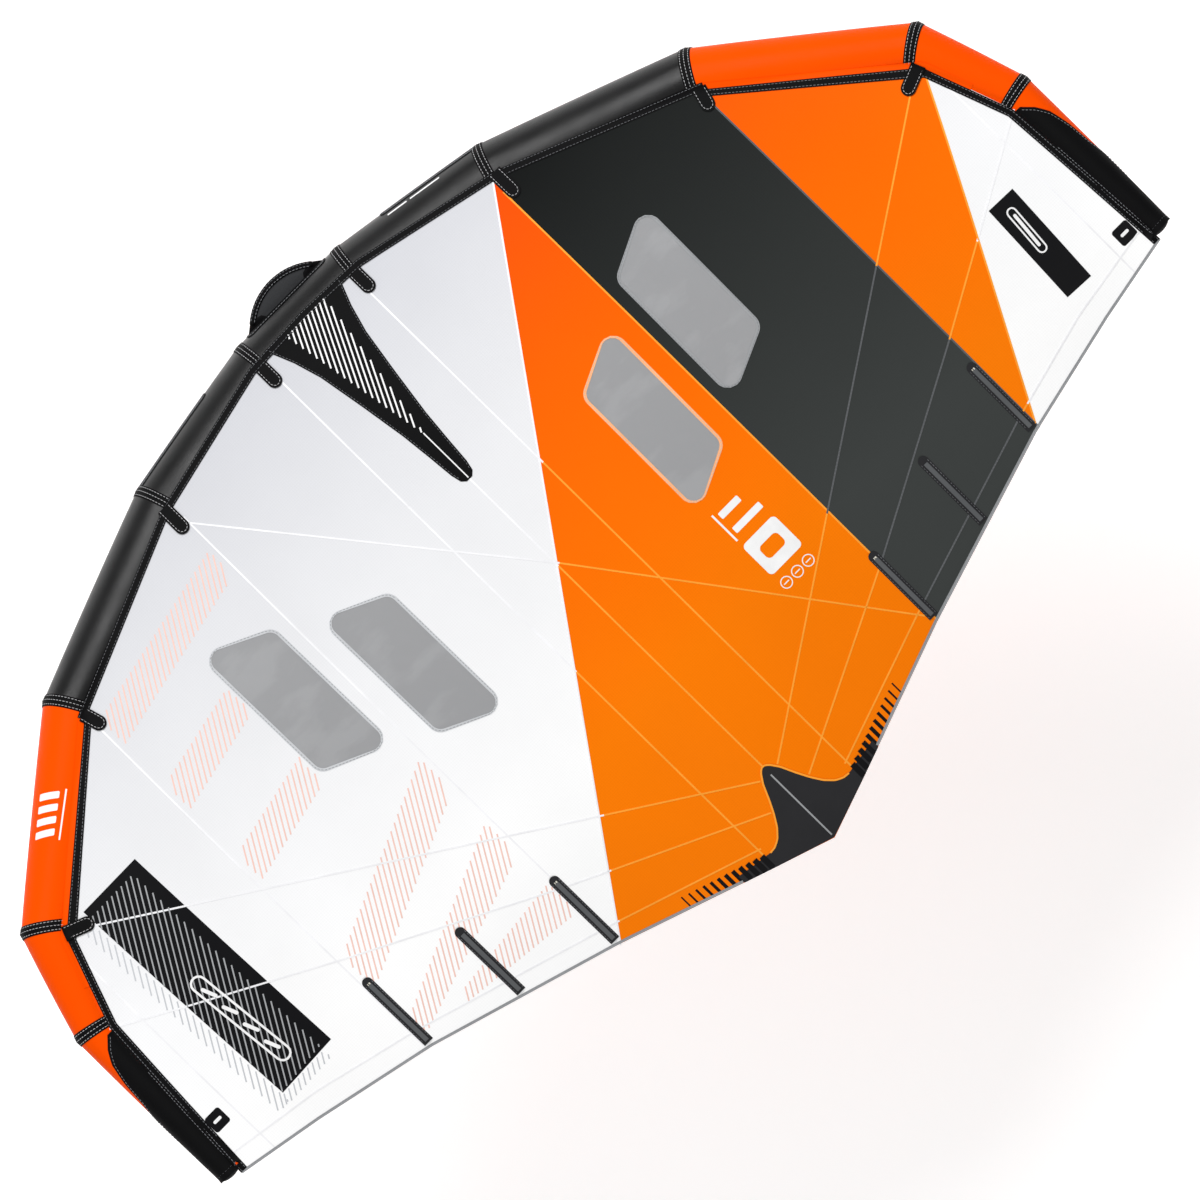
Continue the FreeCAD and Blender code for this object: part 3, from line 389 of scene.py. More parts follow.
def cloth_stitches(build, path, lift, **how):
    """Stitches along a plan path on the canopy."""
    path = walk(path, 0.02)
    z = cloth_height(path[:, 0], path[:, 1]) + lift
    stitches(build, np.column_stack([path, z]), cloth_normal(path[:, 0], path[:, 1]), **how)


# ------------------------------------------------------------------ materials
class Shade:
    """A node material, built up from small steps."""

    def __init__(self, name, roughness=0.5, metallic=0.0, specular=0.5, coat=0.0, sheen=0.0):
        self.material = bpy.data.materials.new(name)
        self.material.use_nodes = True
        self.nodes = self.material.node_tree.nodes
        self.links = self.material.node_tree.links
        self.shader = self.nodes["Principled BSDF"]
        self.shader.inputs["Roughness"].default_value = roughness
        self.shader.inputs["Metallic"].default_value = metallic
        self.shader.inputs["Specular IOR Level"].default_value = specular
        self.shader.inputs["Coat Weight"].default_value = coat
        self.shader.inputs["Coat Roughness"].default_value = 0.25
        self.shader.inputs["Sheen Weight"].default_value = sheen
        self.place = self.nodes.new("ShaderNodeTexCoord").outputs["Object"]
        self.bump = None

    def put(self, socket, value):
        if isinstance(value, bpy.types.NodeSocket):
            self.links.new(value, socket)
        else:
            socket.default_value = value

    def math(self, operation, a, b=0.0, clamp=False):
        node = self.nodes.new("ShaderNodeMath")
        node.operation = operation
        node.use_clamp = clamp
        self.put(node.inputs[0], a)
        self.put(node.inputs[1], b)
        return node.outputs[0]

    def axis(self, index):
        node = self.nodes.new("ShaderNodeSeparateXYZ")
        self.links.new(self.place, node.inputs[0])
        return node.outputs[index]

    def turned(self, angle, axis="Z"):
        """The place, turned about an axis."""
        node = self.nodes.new("ShaderNodeVectorRotate")
        node.rotation_type = axis + "_AXIS"
        node.inputs["Angle"].default_value = angle
        self.links.new(self.place, node.inputs["Vector"])
        return node.outputs[0]

    def noise(self, scale, detail=3.0, vector=None, stretch=(1, 1, 1)):
        node = self.nodes.new("ShaderNodeTexNoise")
        node.inputs["Scale"].default_value = scale
        node.inputs["Detail"].default_value = detail
        mapping = self.nodes.new("ShaderNodeMapping")
        mapping.inputs["Scale"].default_value = stretch
        self.links.new(vector or self.place, mapping.inputs["Vector"])
        self.links.new(mapping.outputs[0], node.inputs["Vector"])
        return node.outputs[0]

    def wave(self, scale, direction, distortion=0.0):
        node = self.nodes.new("ShaderNodeTexWave")
        node.bands_direction = direction
        node.inputs["Scale"].default_value = scale
        node.inputs["Distortion"].default_value = distortion
        self.links.new(self.place, node.inputs["Vector"])
        return node.outputs["Fac"]

    def lines(self, value, pitch, width):
        """1 on thin lines, pitch apart, where value runs across them."""
        share = self.math("FRACT", self.math("MULTIPLY", value, 1 / pitch))
        return self.math("LESS_THAN", share, width / pitch)

    def ramp(self, value, low, high):
        node = self.nodes.new("ShaderNodeMapRange")
        node.inputs["From Min"].default_value = low
        node.inputs["From Max"].default_value = high
        self.put(node.inputs["Value"], value)
        return node.outputs[0]

    def mix(self, share, a, b):
        node = self.nodes.new("ShaderNodeMix")
        node.data_type = "RGBA"
        self.put(node.inputs["Factor"], share)
        self.put(node.inputs["A"], a)
        self.put(node.inputs["B"], b)
        return node.outputs["Result"]

    def colour(self, value):
        self.put(self.shader.inputs["Base Color"], value)

    def rough(self, value):
        self.put(self.shader.inputs["Roughness"], value)

    def relief(self, height, distance, strength=1.0):
        """Adds a layer of bump, distance metres high."""
        node = self.nodes.new("ShaderNodeBump")
        node.inputs["Strength"].default_value = strength
        node.inputs["Distance"].default_value = distance
        self.links.new(height, node.inputs["Height"])
        if self.bump:
            self.links.new(self.bump, node.inputs["Normal"])
        self.bump = node.outputs[0]
        self.links.new(self.bump, self.shader.inputs["Normal"])


def srgb(code):
    """Linear colour from a hex code."""
    parts = [int(code[i:i + 2], 16) / 255 for i in (0, 2, 4)]
    return tuple(p / 12.92 if p <= 0.04045 else ((p + 0.055) / 1.055) ** 2.4 for p in parts) + (1.0,)


SHADOW = (0.0, 0.0, 0.0, 1.0)


def sailcloth(name, front, rear, roughness=0.55, grid=0.006):
    """Ripstop cloth with painted shade: darker at the nose, lighter towards the tail."""
    s = Shade(name, roughness, specular=0.04)
    across = s.lines(s.axis(0), grid, grid * 0.12)
    along = s.lines(s.axis(1), grid, grid * 0.12)
    net = s.math("MAXIMUM", across, along)
    # painted shade and light: the colour runs from the darker front colour at the nose to the lighter rear
    # colour towards the tail
    fade = s.ramp(s.axis(1), NOSE_Y + 0.1, NOSE_Y + 1.3)
    base = s.mix(fade, srgb(front), srgb(rear))
    cloudy = s.ramp(s.noise(3.0, 4.0), 0.3, 0.7)
    base = s.mix(s.math("MULTIPLY", cloudy, 0.04), base, SHADOW)
    threads = s.mix(s.math("MULTIPLY", net, 0.05), base, SHADOW)
    s.colour(threads)
    s.relief(net, 0.00008)
    s.relief(s.noise(9.0, 2.0), 0.0012, 0.5)
    return s.material


def tube_cloth(name, code, gloss, sheer):
    """Tight woven polyester over the air tubes, with a soft gloss."""
    s = Shade(name, 0.36, specular=gloss)
    weave = s.math("MULTIPLY", s.wave(420, "X"), s.wave(420, "Y"))
    shade = s.ramp(s.noise(6.0, 4.0), 0.3, 0.75)
    s.colour(s.mix(s.math("MULTIPLY", shade, 0.12), srgb(code), srgb(sheer)))
    s.rough(s.ramp(s.noise(14.0, 3.0), -1.2, 3.4))
    s.relief(weave, 0.00005)
    s.relief(s.noise(22.0, 3.0), 0.0010, 0.35)
    return s.material


def trim_cloth(name, code, roughness=0.6):
    """Stiff reinforcement cloth with a visible diagonal weave."""
    s = Shade(name, roughness, specular=0.06)
    twill = s.math("FRACT", s.math("MULTIPLY", s.math("ADD", s.axis(0), s.axis(1)), 1 / 0.0016))
    blotch = s.ramp(s.noise(12.0, 4.0), 0.35, 0.7)
    s.colour(s.mix(s.math("MULTIPLY", blotch, 0.10), srgb(code), SHADOW))
    s.relief(twill, 0.00010)
    s.relief(s.noise(40.0, 2.0), 0.0005, 0.4)
    return s.material


def thread(name, code):
    s = Shade(name, 0.7, specular=0.2)
    twist = s.wave(300, "DIAGONAL")
    s.colour(s.mix(s.math("MULTIPLY", twist, 0.25), srgb(code), srgb("606060")))
    return s.material


def window_film(name):
    """Clear film that looks grey over a pale ground."""
    s = Shade(name, 0.16, specular=0.6, coat=0.2)
    smear = s.ramp(s.noise(5.0, 5.0, stretch=(1, 2.2, 1)), 0.52, 0.62)
    s.colour(s.mix(s.math("MULTIPLY", smear, 0.25), srgb("9b9c9e"), srgb("b4b5b7")))
    s.shader.inputs["Alpha"].default_value = 0.86
    s.relief(s.noise(6.0, 2.0), 0.0015, 0.35)
    return s.material


def moulded(name, code, roughness=0.45, gloss=0.4):
    s = Shade(name, roughness, specular=gloss)
    grain = s.noise(900.0, 2.0)
    shade = s.ramp(s.noise(30.0, 3.0), 0.3, 0.7)
    s.colour(s.mix(s.math("MULTIPLY", shade, 0.08), srgb(code), SHADOW))
    s.relief(grain, 0.00006)
    return s.material


def foam(name, code):
    """Textured foam of the grips."""
    s = Shade(name, 0.75, specular=0.25)
    pores = s.ramp(s.noise(420.0, 3.0), 0.35, 0.7)
    s.colour(s.mix(s.math("MULTIPLY", pores, 0.2), srgb(code), srgb("55575a")))
    s.relief(pores, 0.0003)
    return s.material


# the first colour of each cloth is painted shade at the nose, the second painted light towards the tail
WHITE = sailcloth("white_sailcloth", "cccdd2", "ffffff")
ORANGE = sailcloth("orange_sailcloth", "fd4800", "fb7c00")
DARK = sailcloth("dark_sailcloth", "080a0a", "3d403f")
TUBE_BLACK = tube_cloth("black_tube_cloth", "050506", 0.30, "0b0b0c")
TUBE_ORANGE = tube_cloth("orange_tube_cloth", "fa5000", 0.02, "e84400")
TRIM = trim_cloth("black_trim_cloth", "0c0c0d")
PATCH = trim_cloth("dark_patch_cloth", "2c2c2e")
HEM = trim_cloth("hem_tape", "9c9ea0")
FILM = window_film("window_film")
LIGHT_THREAD = thread("light_thread", "d8d8da")
GREY_THREAD = thread("grey_thread", "8c8e92")
WHITE_THREAD = thread("white_thread", "f2f3f5")
ORANGE_THREAD = thread("orange_thread", "ffa238")
SEAM_LIGHT = trim_cloth("seam_tape_light", "f6f6f8", 0.5)
SEAM_ORANGE = trim_cloth("seam_tape_orange", "ffa436", 0.5)
SEAM_DARK = trim_cloth("seam_tape_dark", "5c5e60", 0.5)
WEBBING = trim_cloth("black_webbing", "101011", 0.7)
FOAM = foam("grip_foam", "17181a")
WEB_FOAM = foam("web_foam", "2b2c2e")
PLASTIC = moulded("valve_plastic", "1b1c1e")
POPPET = moulded("poppet_plastic", "c9cbce", 0.4)
BATTEN = moulded("batten_rod", "d9d6c8", 0.35)
BLADDER = moulded("bladder_film", "c9d2d8", 0.2)
CORE = moulded("grip_core", "1c1c1c", 0.4)
PRINT_WHITE = moulded("white_print", "f4f4f4", 0.5, 0.05)
PRINT_BLACK = moulded("black_print", "141416", 0.5, 0.05)
PRINT_GREY = moulded("grey_print", "c6c8cc", 0.5, 0.05)
PRINT_RED = moulded("pale_red_print", "f3c8bc", 0.5, 0.05)
PRINT_MID = moulded("mid_grey_print", "a4a6a8", 0.5, 0.05)
HEM_LIGHT = trim_cloth("window_tape_light", "c9cbce", 0.5)
SEAM_PEACH = trim_cloth("window_tape_peach", "fbb684", 0.5)

# ------------------------------------------------------------------ camera, floor and light
PIXEL = 0.0024
VIEW_CENTRE = Vector((-4.8 * PIXEL, NOSE_Y + (587 - 148.5) * PIXEL, 0.15))
CAMERA_HEIGHT = 24.0
FRAME_WIDTH = 1200 * PIXEL
WING_TURN = math.radians(45.486)


def make_camera():
    """Looks straight down on the canopy, with the wing's nose towards the upper left."""
    data = bpy.data.cameras.new("camera")
    data.sensor_width = 36.0
    data.lens = 36.0 * CAMERA_HEIGHT / FRAME_WIDTH
    data.clip_end = 200.0
    camera = bpy.data.objects.new("camera", data)
    bpy.context.scene.collection.objects.link(camera)
    right = Vector((-math.cos(WING_TURN), math.sin(WING_TURN), 0))
    up = Vector((-math.sin(WING_TURN), -math.cos(WING_TURN), 0))
    back = Vector((0, 0, 1))
    turn = Matrix((right, up, back)).transposed().to_4x4()
    camera.matrix_world = Matrix.Translation(VIEW_CENTRE + back * CAMERA_HEIGHT) @ turn
    bpy.context.scene.camera = camera
    bpy.context.scene.view_settings.view_transform = "Standard"


def area_light(name, place, target, size, power, colour=(1, 1, 1)):
    data = bpy.data.lights.new(name, "AREA")
    data.shape = "DISK"
    data.size = size
    data.energy = power
    data.color = colour
    light = bpy.data.objects.new(name, data)
    bpy.context.scene.collection.objects.link(light)
    light.location = place
    aim = Vector(target) - Vector(place)
    light.rotation_euler = aim.to_track_quat("-Z", "Y").to_euler()


def make_stage():
    floor_z = -1.3
    reach = 14.0
    mesh = bpy.data.meshes.new("floor")
    mesh.from_pydata([(-reach, -reach, floor_z), (reach, -reach, floor_z), (reach, reach, floor_z),
                      (-reach, reach, floor_z)], [], [(0, 1, 2, 3)])
    floor = bpy.data.objects.new("floor", mesh)
    bpy.context.scene.collection.objects.link(floor)
    pale = bpy.data.materials.new("pale_floor")
    pale.use_nodes = True
    shader = pale.node_tree.nodes["Principled BSDF"]
    shader.inputs["Base Color"].default_value = (0.92, 0.92, 0.92, 1)
    shader.inputs["Roughness"].default_value = 0.9
    shader.inputs["Emission Color"].default_value = (1, 1, 1, 1)
    shader.inputs["Emission Strength"].default_value = 0.35
    mesh.materials.append(pale)
    world = bpy.data.worlds.new("studio")
    bpy.context.scene.world = world
    world.use_nodes = True
    world.node_tree.nodes["Background"].inputs["Color"].default_value = (1, 1, 1, 1)
    world.node_tree.nodes["Background"].inputs["Strength"].default_value = 0.42
    middle = (0, 0.5, 0)
    area_light("key", (-2.0, -7.5, 8.5), middle, 6.0, 1050)
    area_light("fill", (5.0, 7.0, 9.0), middle, 8.0, 420)


make_camera()
make_stage()

# ------------------------------------------------------------------ canopy panels and windows
WINDOW_CORNER = 0.029
INNER_WINDOW = [(0.331, 0.684), (0.490, 0.607), (0.486, 0.996), (0.328, 1.073)]
OUTER_WINDOW = [(0.588, 0.545), (0.754, 0.463), (0.749, 0.862), (0.583, 0.938)]
CLOTH = 0.0007
LINE_AT = {"right": 0.166, "left": 1.672}
SLANT = [(-1.457, 0.710), (-1.046, 1.500)]
SAME_PLACE = 1e-6


def window_outline(place, side, grow=0.0):
    corners = INNER_WINDOW if place == "inner" else OUTER_WINDOW
    points = to_plan([(side * x, setback) for x, setback in corners])
    middle = points.mean(axis=0)
    span = points.max(axis=0) - points.min(axis=0)
    points = middle + (points - middle) * (1 + 2 * grow / span)
    return rounded(points, WINDOW_CORNER + grow)


def line_setback(x):
    """Setback of the slanted colour seam."""
    share = (x + 0.547) / 1.094
    return LINE_AT["right"] * (1 - share) + LINE_AT["left"] * share


def slant_setback(x):
    return np.interp(x, [SLANT[0][0], SLANT[1][0]], [SLANT[0][1], SLANT[1][1]])


def strip(a, b, front, rear, step=0.03):
    """The plan outline between x = a and x = b, from one setback function to another."""
    marks = np.concatenate([SEAM[:, 0], -SEAM[:, 0], TAIL[:, 0], -TAIL[:, 0], [SLANT[0][0]]])
    inner = marks[(marks > min(a, b) + SAME_PLACE) & (marks < max(a, b) - SAME_PLACE)]
    xs = np.sort(np.unique(np.concatenate([[a, b], inner])))
    first = [(x, float(front(x))) for x in xs]
    last = [(x, float(rear(x))) for x in xs[::-1]]
    corners = first + last
    gaps = [math.dist(a, b) for a, b in zip(corners[1:], corners)]
    points = corners[:1] + [point for point, gap in zip(corners[1:], gaps) if gap > SAME_PLACE]
    if math.dist(points[0], points[-1]) < SAME_PLACE:
        points = points[:-1]
    return to_plan(points)


def canopy_panel(node, outline, material, slot, windows=()):
    build = Build()
    holes = [window_outline(place, side) for place, side in windows]
    cloth_layer(build, outline, 0.0, CLOTH, holes)
    item = build.piece(node + "_cloth", material, nodes=[node], slot=slot)


W, S = 0.547, 0.151
O = 1.046
for name, (a, b) in {"left": (W, S), "centre": (S, -S), "right": (-S, -W)}.items():
    canopy_panel(f"canopy_front_{name}", strip(a, b, seam_setback, line_setback), WHITE, "cloth_white",
                 [("inner", 1)] if name == "left" else [])
    canopy_panel(f"canopy_rear_{name}", strip(a, b, line_setback, tail_setback), ORANGE, "cloth_orange",
                 [("inner", -1)] if name == "right" else [])
canopy_panel("canopy_outer_left", strip(W, O, seam_setback, tail_setback), WHITE, "cloth_white",
             [("outer", 1)])
canopy_panel("canopy_outer_right", strip(-O, -W, seam_setback, tail_setback), DARK, "cloth_dark",
             [("outer", -1)])
canopy_panel("canopy_tip_left", strip(O, TIP, seam_setback, tail_setback), WHITE, "cloth_white")
canopy_panel("canopy_wedge_right", strip(SLANT[0][0], -O, seam_setback, slant_setback), ORANGE,
             "cloth_orange")


def tip_front(x):
    return seam_setback(x) if x < SLANT[0][0] else slant_setback(x)


canopy_panel("canopy_tip_right", strip(-TIP, -O, tip_front, tail_setback), WHITE, "cloth_white")

for place in ("inner", "outer"):
    for side_name, side in SIDES.items():
        node = f"window_{place}_{side_name}"
        build = Build()
        cloth_layer(build, window_outline(place, side), 0.0, CLOTH)
        pane = build.piece(node + "_pane", FILM, nodes=[node], slot="window_film")

# ------------------------------------------------------------------ leading edge tube
SWELL = 0.0012
PUCKER = 0.0016
LAST = len(JOINTS) - 1


def axis_direction(i):
    if i == 0:
        return np.array([1.0, 0.0, 0.0])
    return unit(CENTRES[i] - CENTRES[i - 1])


def mitre(i):
    """The long and the upright axis of joint i's section, and how much longer the long one is."""
    before = axis_direction(i)
    after = axis_direction(min(i + 1, LAST))
    normal = unit(before + after)
    long_axis = unit(np.cross([0, 0, 1], normal))
    return long_axis, np.cross(normal, long_axis), 1 / math.cos(math.acos(min(before @ after, 1)) / 2)


def section_ring(i, angles, lift):
    long_axis, up_axis, stretch = mitre(i)
    radius = JOINTS[i, 3] + lift
    return CENTRES[i] + radius * (stretch * np.cos(angles)[:, None] * long_axis
                                  + np.sin(angles)[:, None] * up_axis)


def segment_length(i):
    return 2 * CENTRES[0, 0] if i == 0 else float(np.linalg.norm(CENTRES[i] - CENTRES[i - 1]))


def tube_skin(i, side, shares, angles, lift=0.0):
    """Points of segment i at shares of its length, by angles that start at its rear and rise."""
    shares = np.asarray(shares, float)
    angles = np.asarray(angles, float)
    last = section_ring(i, angles, lift)
    first = last * [-1, 1, 1] if i == 0 else section_ring(i - 1, angles, lift)
    t = shares[:, None, None]
    points = first[None] * (1 - t) + last[None] * t
    long_axis, up_axis, _ = mitre(i)
    outward = np.cos(angles)[:, None] * long_axis + np.sin(angles)[:, None] * up_axis
    near = np.minimum(shares, 1 - shares) * segment_length(i)
    swell = SWELL * np.sin(np.pi * np.clip(shares, 0, 1))
    folds = 0.5 + 0.25 * np.sin(9 * angles + 1.7 * i) + 0.25 * np.sin(15 * angles + 2.3 * i + side)
    fade = np.exp(-near / 0.045) * (1 - np.exp(-near / 0.010))
    relief = swell[:, None] - PUCKER * fade[:, None] * folds[None]
    points = points + relief[:, :, None] * outward[None]
    if side < 0:
        points = points * [-1, 1, 1]
    return points


def grid_faces(rows, columns, wrap_rows=False, wrap_columns=False):
    faces = []
    for r in range(rows if wrap_rows else rows - 1):
        for c in range(columns if wrap_columns else columns - 1):
            s, d = (r + 1) % rows, (c + 1) % columns
            faces.append((r * columns + c, r * columns + d, s * columns + d, s * columns + c))
    return faces


def full_turn(count):
    return np.linspace(0, 2 * math.pi, count, endpoint=False)


def graded(length, fine=0.006, growth=1.25, coarse=0.025):
    """Shares along a length, close together near both ends."""
    marks = [0.0]
    step = fine
    while marks[-1] < length / 2:
        marks.append(marks[-1] + step)
        step = min(step * growth, coarse)
    half = np.array(marks) / marks[-1] / 2
    return np.concatenate([half, 1 - half[-2::-1]])


def tube_segment(i, side, node, material, slot):
    """A closed barrel between two mitred seams."""
    angles = full_turn(72)
    shares = graded(segment_length(i))
    outer = tube_skin(i, side, shares, angles)
    inner = [tube_skin(i, side, [share], angles, -depth)[0] for share, depth in ((1.0, 0.002), (0.0, 0.002))]
    rows = np.concatenate([outer, np.array(inner)])
    build = Build()
    count = len(rows)
    verts = rows.reshape(-1, 3)
    faces = grid_faces(count - 2, len(angles), wrap_columns=True)
    build.add(verts, faces)
    columns = len(angles)
    last = count - 3
    for c in range(columns):
        d = (c + 1) % columns
        here, ahead, beyond = (row * columns for row in (last, last + 1, last + 2))
        build.faces.append((here + c, here + d, ahead + d, ahead + c))
        build.faces.append((beyond + c, beyond + d, d, c))
    # the two mitres are closed a little inside the seam
    for row in (last + 1, last + 2):
        middle = len(build.verts)
        build.verts.append(tuple(np.array(build.verts[row * columns:(row + 1) * columns]).mean(axis=0)))
        for c in range(columns):
            build.faces.append((row * columns + c, row * columns + (c + 1) % columns, middle))
    return build.piece(f"{node}_skin", material, nodes=[node], slot=slot)


tube_segment(0, 1, "le_segment_centre", TUBE_BLACK, "tube_black")
for side_name, side in SIDES.items():
    for i in range(1, LAST + 1):
        orange = i >= 3
        tube_segment(i, side, f"le_segment_{side_name}_{i}", TUBE_ORANGE if orange else TUBE_BLACK,
                     "tube_orange" if orange else "tube_black")


def tube_top(x, y):
    """Height of the top of the leading edge over plan points, or far below where there is none."""
    x = np.abs(np.asarray(x, float))
    y = np.asarray(y, float)
    best = np.full(x.shape, -10.0)
    starts = np.vstack([[0.0, CENTRES[0, 1], CENTRES[0, 2]], CENTRES[:-1]])
    radii = np.concatenate([JOINTS[:1, 3], JOINTS[:-1, 3]])
    for i in range(LAST + 1):
        a, b = starts[i], CENTRES[i]
        run = b - a
        flat = math.hypot(run[0], run[1])
        ahead = run[:2] / flat
        t = ((x - a[0]) * ahead[0] + (y - a[1]) * ahead[1]) / flat
        away = (y - a[1]) * ahead[0] - (x - a[0]) * ahead[1]
        radius = radii[i] * (1 - t) + JOINTS[i, 3] * t + SWELL
        inside_run = (t > -0.12 if i else t > -9) & (t < 1.12) & (np.abs(away) < radius)
        rise = np.sqrt(np.maximum(radius ** 2 - away ** 2, 0)) * np.linalg.norm(run) / flat
        height = a[2] + run[2] * t + rise
        low = (t >= 0) & (t <= 1) if i else t <= 1
        best = np.where(inside_run & low, np.maximum(best, height), best)
    return best


def top_height(x, y):
    """Height of whatever is on top: the canopy or the tube."""
    return np.maximum(tube_top(x, y), cloth_height(x, y))


def top_normal(x, y):
    step = 0.003
    dx = (top_height(x + step, y) - top_height(x - step, y)) / (2 * step)
    dy = (top_height(x, y + step) - top_height(x, y - step)) / (2 * step)
    normal = np.stack([-dx, -dy, np.ones_like(dx)], axis=-1)
    return normal / np.linalg.norm(normal, axis=-1, keepdims=True)


def top_stitches(build, path, lift, step=0.008, **how):
    path = walk(path, step)
    z = top_height(path[:, 0], path[:, 1])
    normal = top_normal(path[:, 0], path[:, 1])
    stitches(build, np.column_stack([path, z]) + normal * lift, normal, **how)


def closed(path):
    return np.vstack([path, path[:1]])


# tips of the tube
DOME = 0.014
build = Build()
threads = Build()
for side in SIDES.values():
    angles = full_turn(48)
    rim = section_ring(LAST, angles, -0.0006)
    ahead = axis_direction(LAST)
    middle = CENTRES[LAST]
    rows = []
    for tilt in np.linspace(0, math.pi / 2, 9)[:-1]:
        ripple = 1 - 0.012 * np.sin(tilt * 2) * (1 + np.sin(12 * angles))[:, None]
        rows.append(middle + (rim - middle) * math.cos(tilt) * ripple + ahead * DOME * math.sin(tilt))
    rows = np.array(rows) * [side, 1, 1]
    verts = list(rows.reshape(-1, 3))
    faces = grid_faces(len(rows), len(angles), wrap_columns=True)
    for row, point in ((len(rows) - 1, middle + ahead * DOME), (0, middle - ahead * 0.002)):
        verts.append(point * [side, 1, 1])
        for c in range(len(angles)):
            faces.append((row * len(angles) + c, row * len(angles) + (c + 1) % len(angles), len(verts) - 1))
    build.add(verts, faces)
    ring = closed(tube_skin(LAST, side, [0.985], angles, 0.0006)[0])
    stitches(threads, ring, ring - ring[:-1].mean(axis=0))
build.piece("tip_end_domes", TRIM, nodes=["tip_end_panels"], slot="trim_black")
threads.piece("tip_end_stitches", GREY_THREAD)

# bands round the joints
BAND_HALF = 0.015
build = Build()
threads = Build()
band_builds = [Build() for _ in range(5)]
for i in range(5):
    for side in SIDES.values():
        angles = full_turn(72)
        before = [1 + offset / segment_length(i) for offset in (-BAND_HALF, -0.0135, -0.007, 0)]
        after = [offset / segment_length(i + 1) for offset in (0.007, 0.0135, BAND_HALF)]
        lifts = [0.0010, 0.0017, 0.0018, 0.0018, 0.0018, 0.0017, 0.0010]
        rows = [tube_skin(i, side, [share], angles, lift)[0] for share, lift in zip(before, lifts)]
        rows += [tube_skin(i + 1, side, [share], angles, lift)[0] for share, lift in zip(after, lifts[4:])]
        rows += [tube_skin(i + 1, side, [after[-1]], angles, 0.0003)[0],
                 tube_skin(i, side, [1.0], angles, 0.0003)[0],
                 tube_skin(i, side, [before[0]], angles, 0.0003)[0]]
        verts = np.array(rows).reshape(-1, 3)
        band_builds[i].add(verts, grid_faces(len(rows), len(angles), wrap_rows=True, wrap_columns=True))
        for segment, share in ((i, 1 - 0.0105 / segment_length(i)), (i, 1.0),
                               (i + 1, 0.0105 / segment_length(i + 1))):
            fine = full_turn(144)
            ring = tube_skin(segment, side, [share], fine, 0.0019)[0]
            stitches(threads, closed(ring), closed(ring - ring.mean(axis=0)))

TABS = {0: [(0.160, 0.077), (0.160, 0.125)], 1: [(0.566, 0.150), (0.566, 0.214)],
        2: [(1.050, 0.362), (1.038, 0.404)], 3: [(1.452, 0.700), (1.396, 0.722)]}
TAB_RADIUS = 0.0185


def tab_outline(i, side, radius):
    first, last = [p * [side, 1] for p in to_plan(TABS[i])]
    run = unit(last - first)
    across = np.array([-run[1], run[0]])
    turn = np.linspace(math.pi / 2, -math.pi / 2, 13)
    tip = [last + radius * (math.cos(a) * run + math.sin(a) * across) for a in turn]
    return np.array([first - across * radius, first + across * radius] + tip)


for i in TABS:
    for side in SIDES.values():
        cloth_layer(band_builds[i], tab_outline(i, side, TAB_RADIUS), 0.0026, 0.0012, spacing=0.010,
                    height=top_height)
        edge = tab_outline(i, side, TAB_RADIUS - 0.005)
        top_stitches(threads, np.vstack([edge[1:], edge[:1]]), 0.0034)
for i, band_build in enumerate(band_builds):
    band_build.piece(f"joint_band_{i + 1}_cloth", TRIM, nodes=[f"joint_bands_{i + 1}"], slot="trim_black")
threads.piece("joint_band_stitches", LIGHT_THREAD)

# ------------------------------------------------------------------ seams of the canopy
SEAM_LINES = [
    [(0, 0.626), (0, 1.616)],
    [(0.151, 0.075), (0.151, 1.806)],
    [(W, 0.200), (W, 1.667)],
    [(O, 0.385), (O, 1.514)],
    [(1.464, 0.760), (1.464, 1.417)],
    [(0.559, 0.205), (0, 0.912), (-0.533, 1.637)],
    [(-0.547, LINE_AT["right"]), (0.547, LINE_AT["left"])],
    [(1.385, 0.738), (0.029, 1.634)],
    [(1.536, 0.936), (1.032, 1.217), (0.540, 1.476), (0.065, 1.706)],
    [(1.556, 1.350), (1.300, 1.392), (1.032, 1.462), (0.528, 1.620), (0.144, 1.750)],
]
MIRRORED_SEAMS = (1, 2, 3, 4, 7, 8, 9)


def cloth_colour(x, setback):
    """Which cloth lies at a place on the canopy."""
    if abs(x) <= W:
        return "orange" if setback > line_setback(x) else "white"
    if x > W:
        return "white"
    if x > -O:
        return "dark"
    return "orange" if x > SLANT[0][0] and setback < slant_setback(x) else "white"


SEAM_LOOKS = {"white": (SEAM_LIGHT, WHITE_THREAD), "orange": (SEAM_ORANGE, ORANGE_THREAD),
              "dark": (SEAM_DARK, GREY_THREAD)}
tapes = {colour: Build() for colour in SEAM_LOOKS}
threads = {colour: Build() for colour in SEAM_LOOKS}
lines = list(SEAM_LINES)
lines += [[(-x, s) for x, s in SEAM_LINES[k]] for k in MIRRORED_SEAMS]
lines.append([(SLANT[0][0] + 0.012, SLANT[0][1] + 0.022), (SLANT[1][0], SLANT[1][1])])
SEAM_WIDTH = 0.0044
for line in lines:
    path = walk(to_plan(line), 0.012)
    colours = [cloth_colour(x + 0.001, y - NOSE_Y) for x, y in path]
    start = 0
    for k in range(1, len(path) + 1):
        if k == len(path) or colours[k] != colours[start]:
            run = path[start:min(k + 1, len(path))]
            colour = colours[start]
            start = k
            if len(run) < 3:
                continue
            for lift in (0.0006, -0.0006):
                ribbon(tapes[colour], run, SEAM_WIDTH, lift, 0.0008)
            edge, other = ribbon_outline(walk(run, 0.02), 0.0022)
            for edge_path in (edge, other):
                cloth_stitches(threads[colour], edge_path, 0.0005, radius=0.0005)
for colour, (tape, stitch) in SEAM_LOOKS.items():
    tapes[colour].piece(f"seam_tapes_{colour}", tape)
    threads[colour].piece(f"seam_stitches_{colour}", stitch)


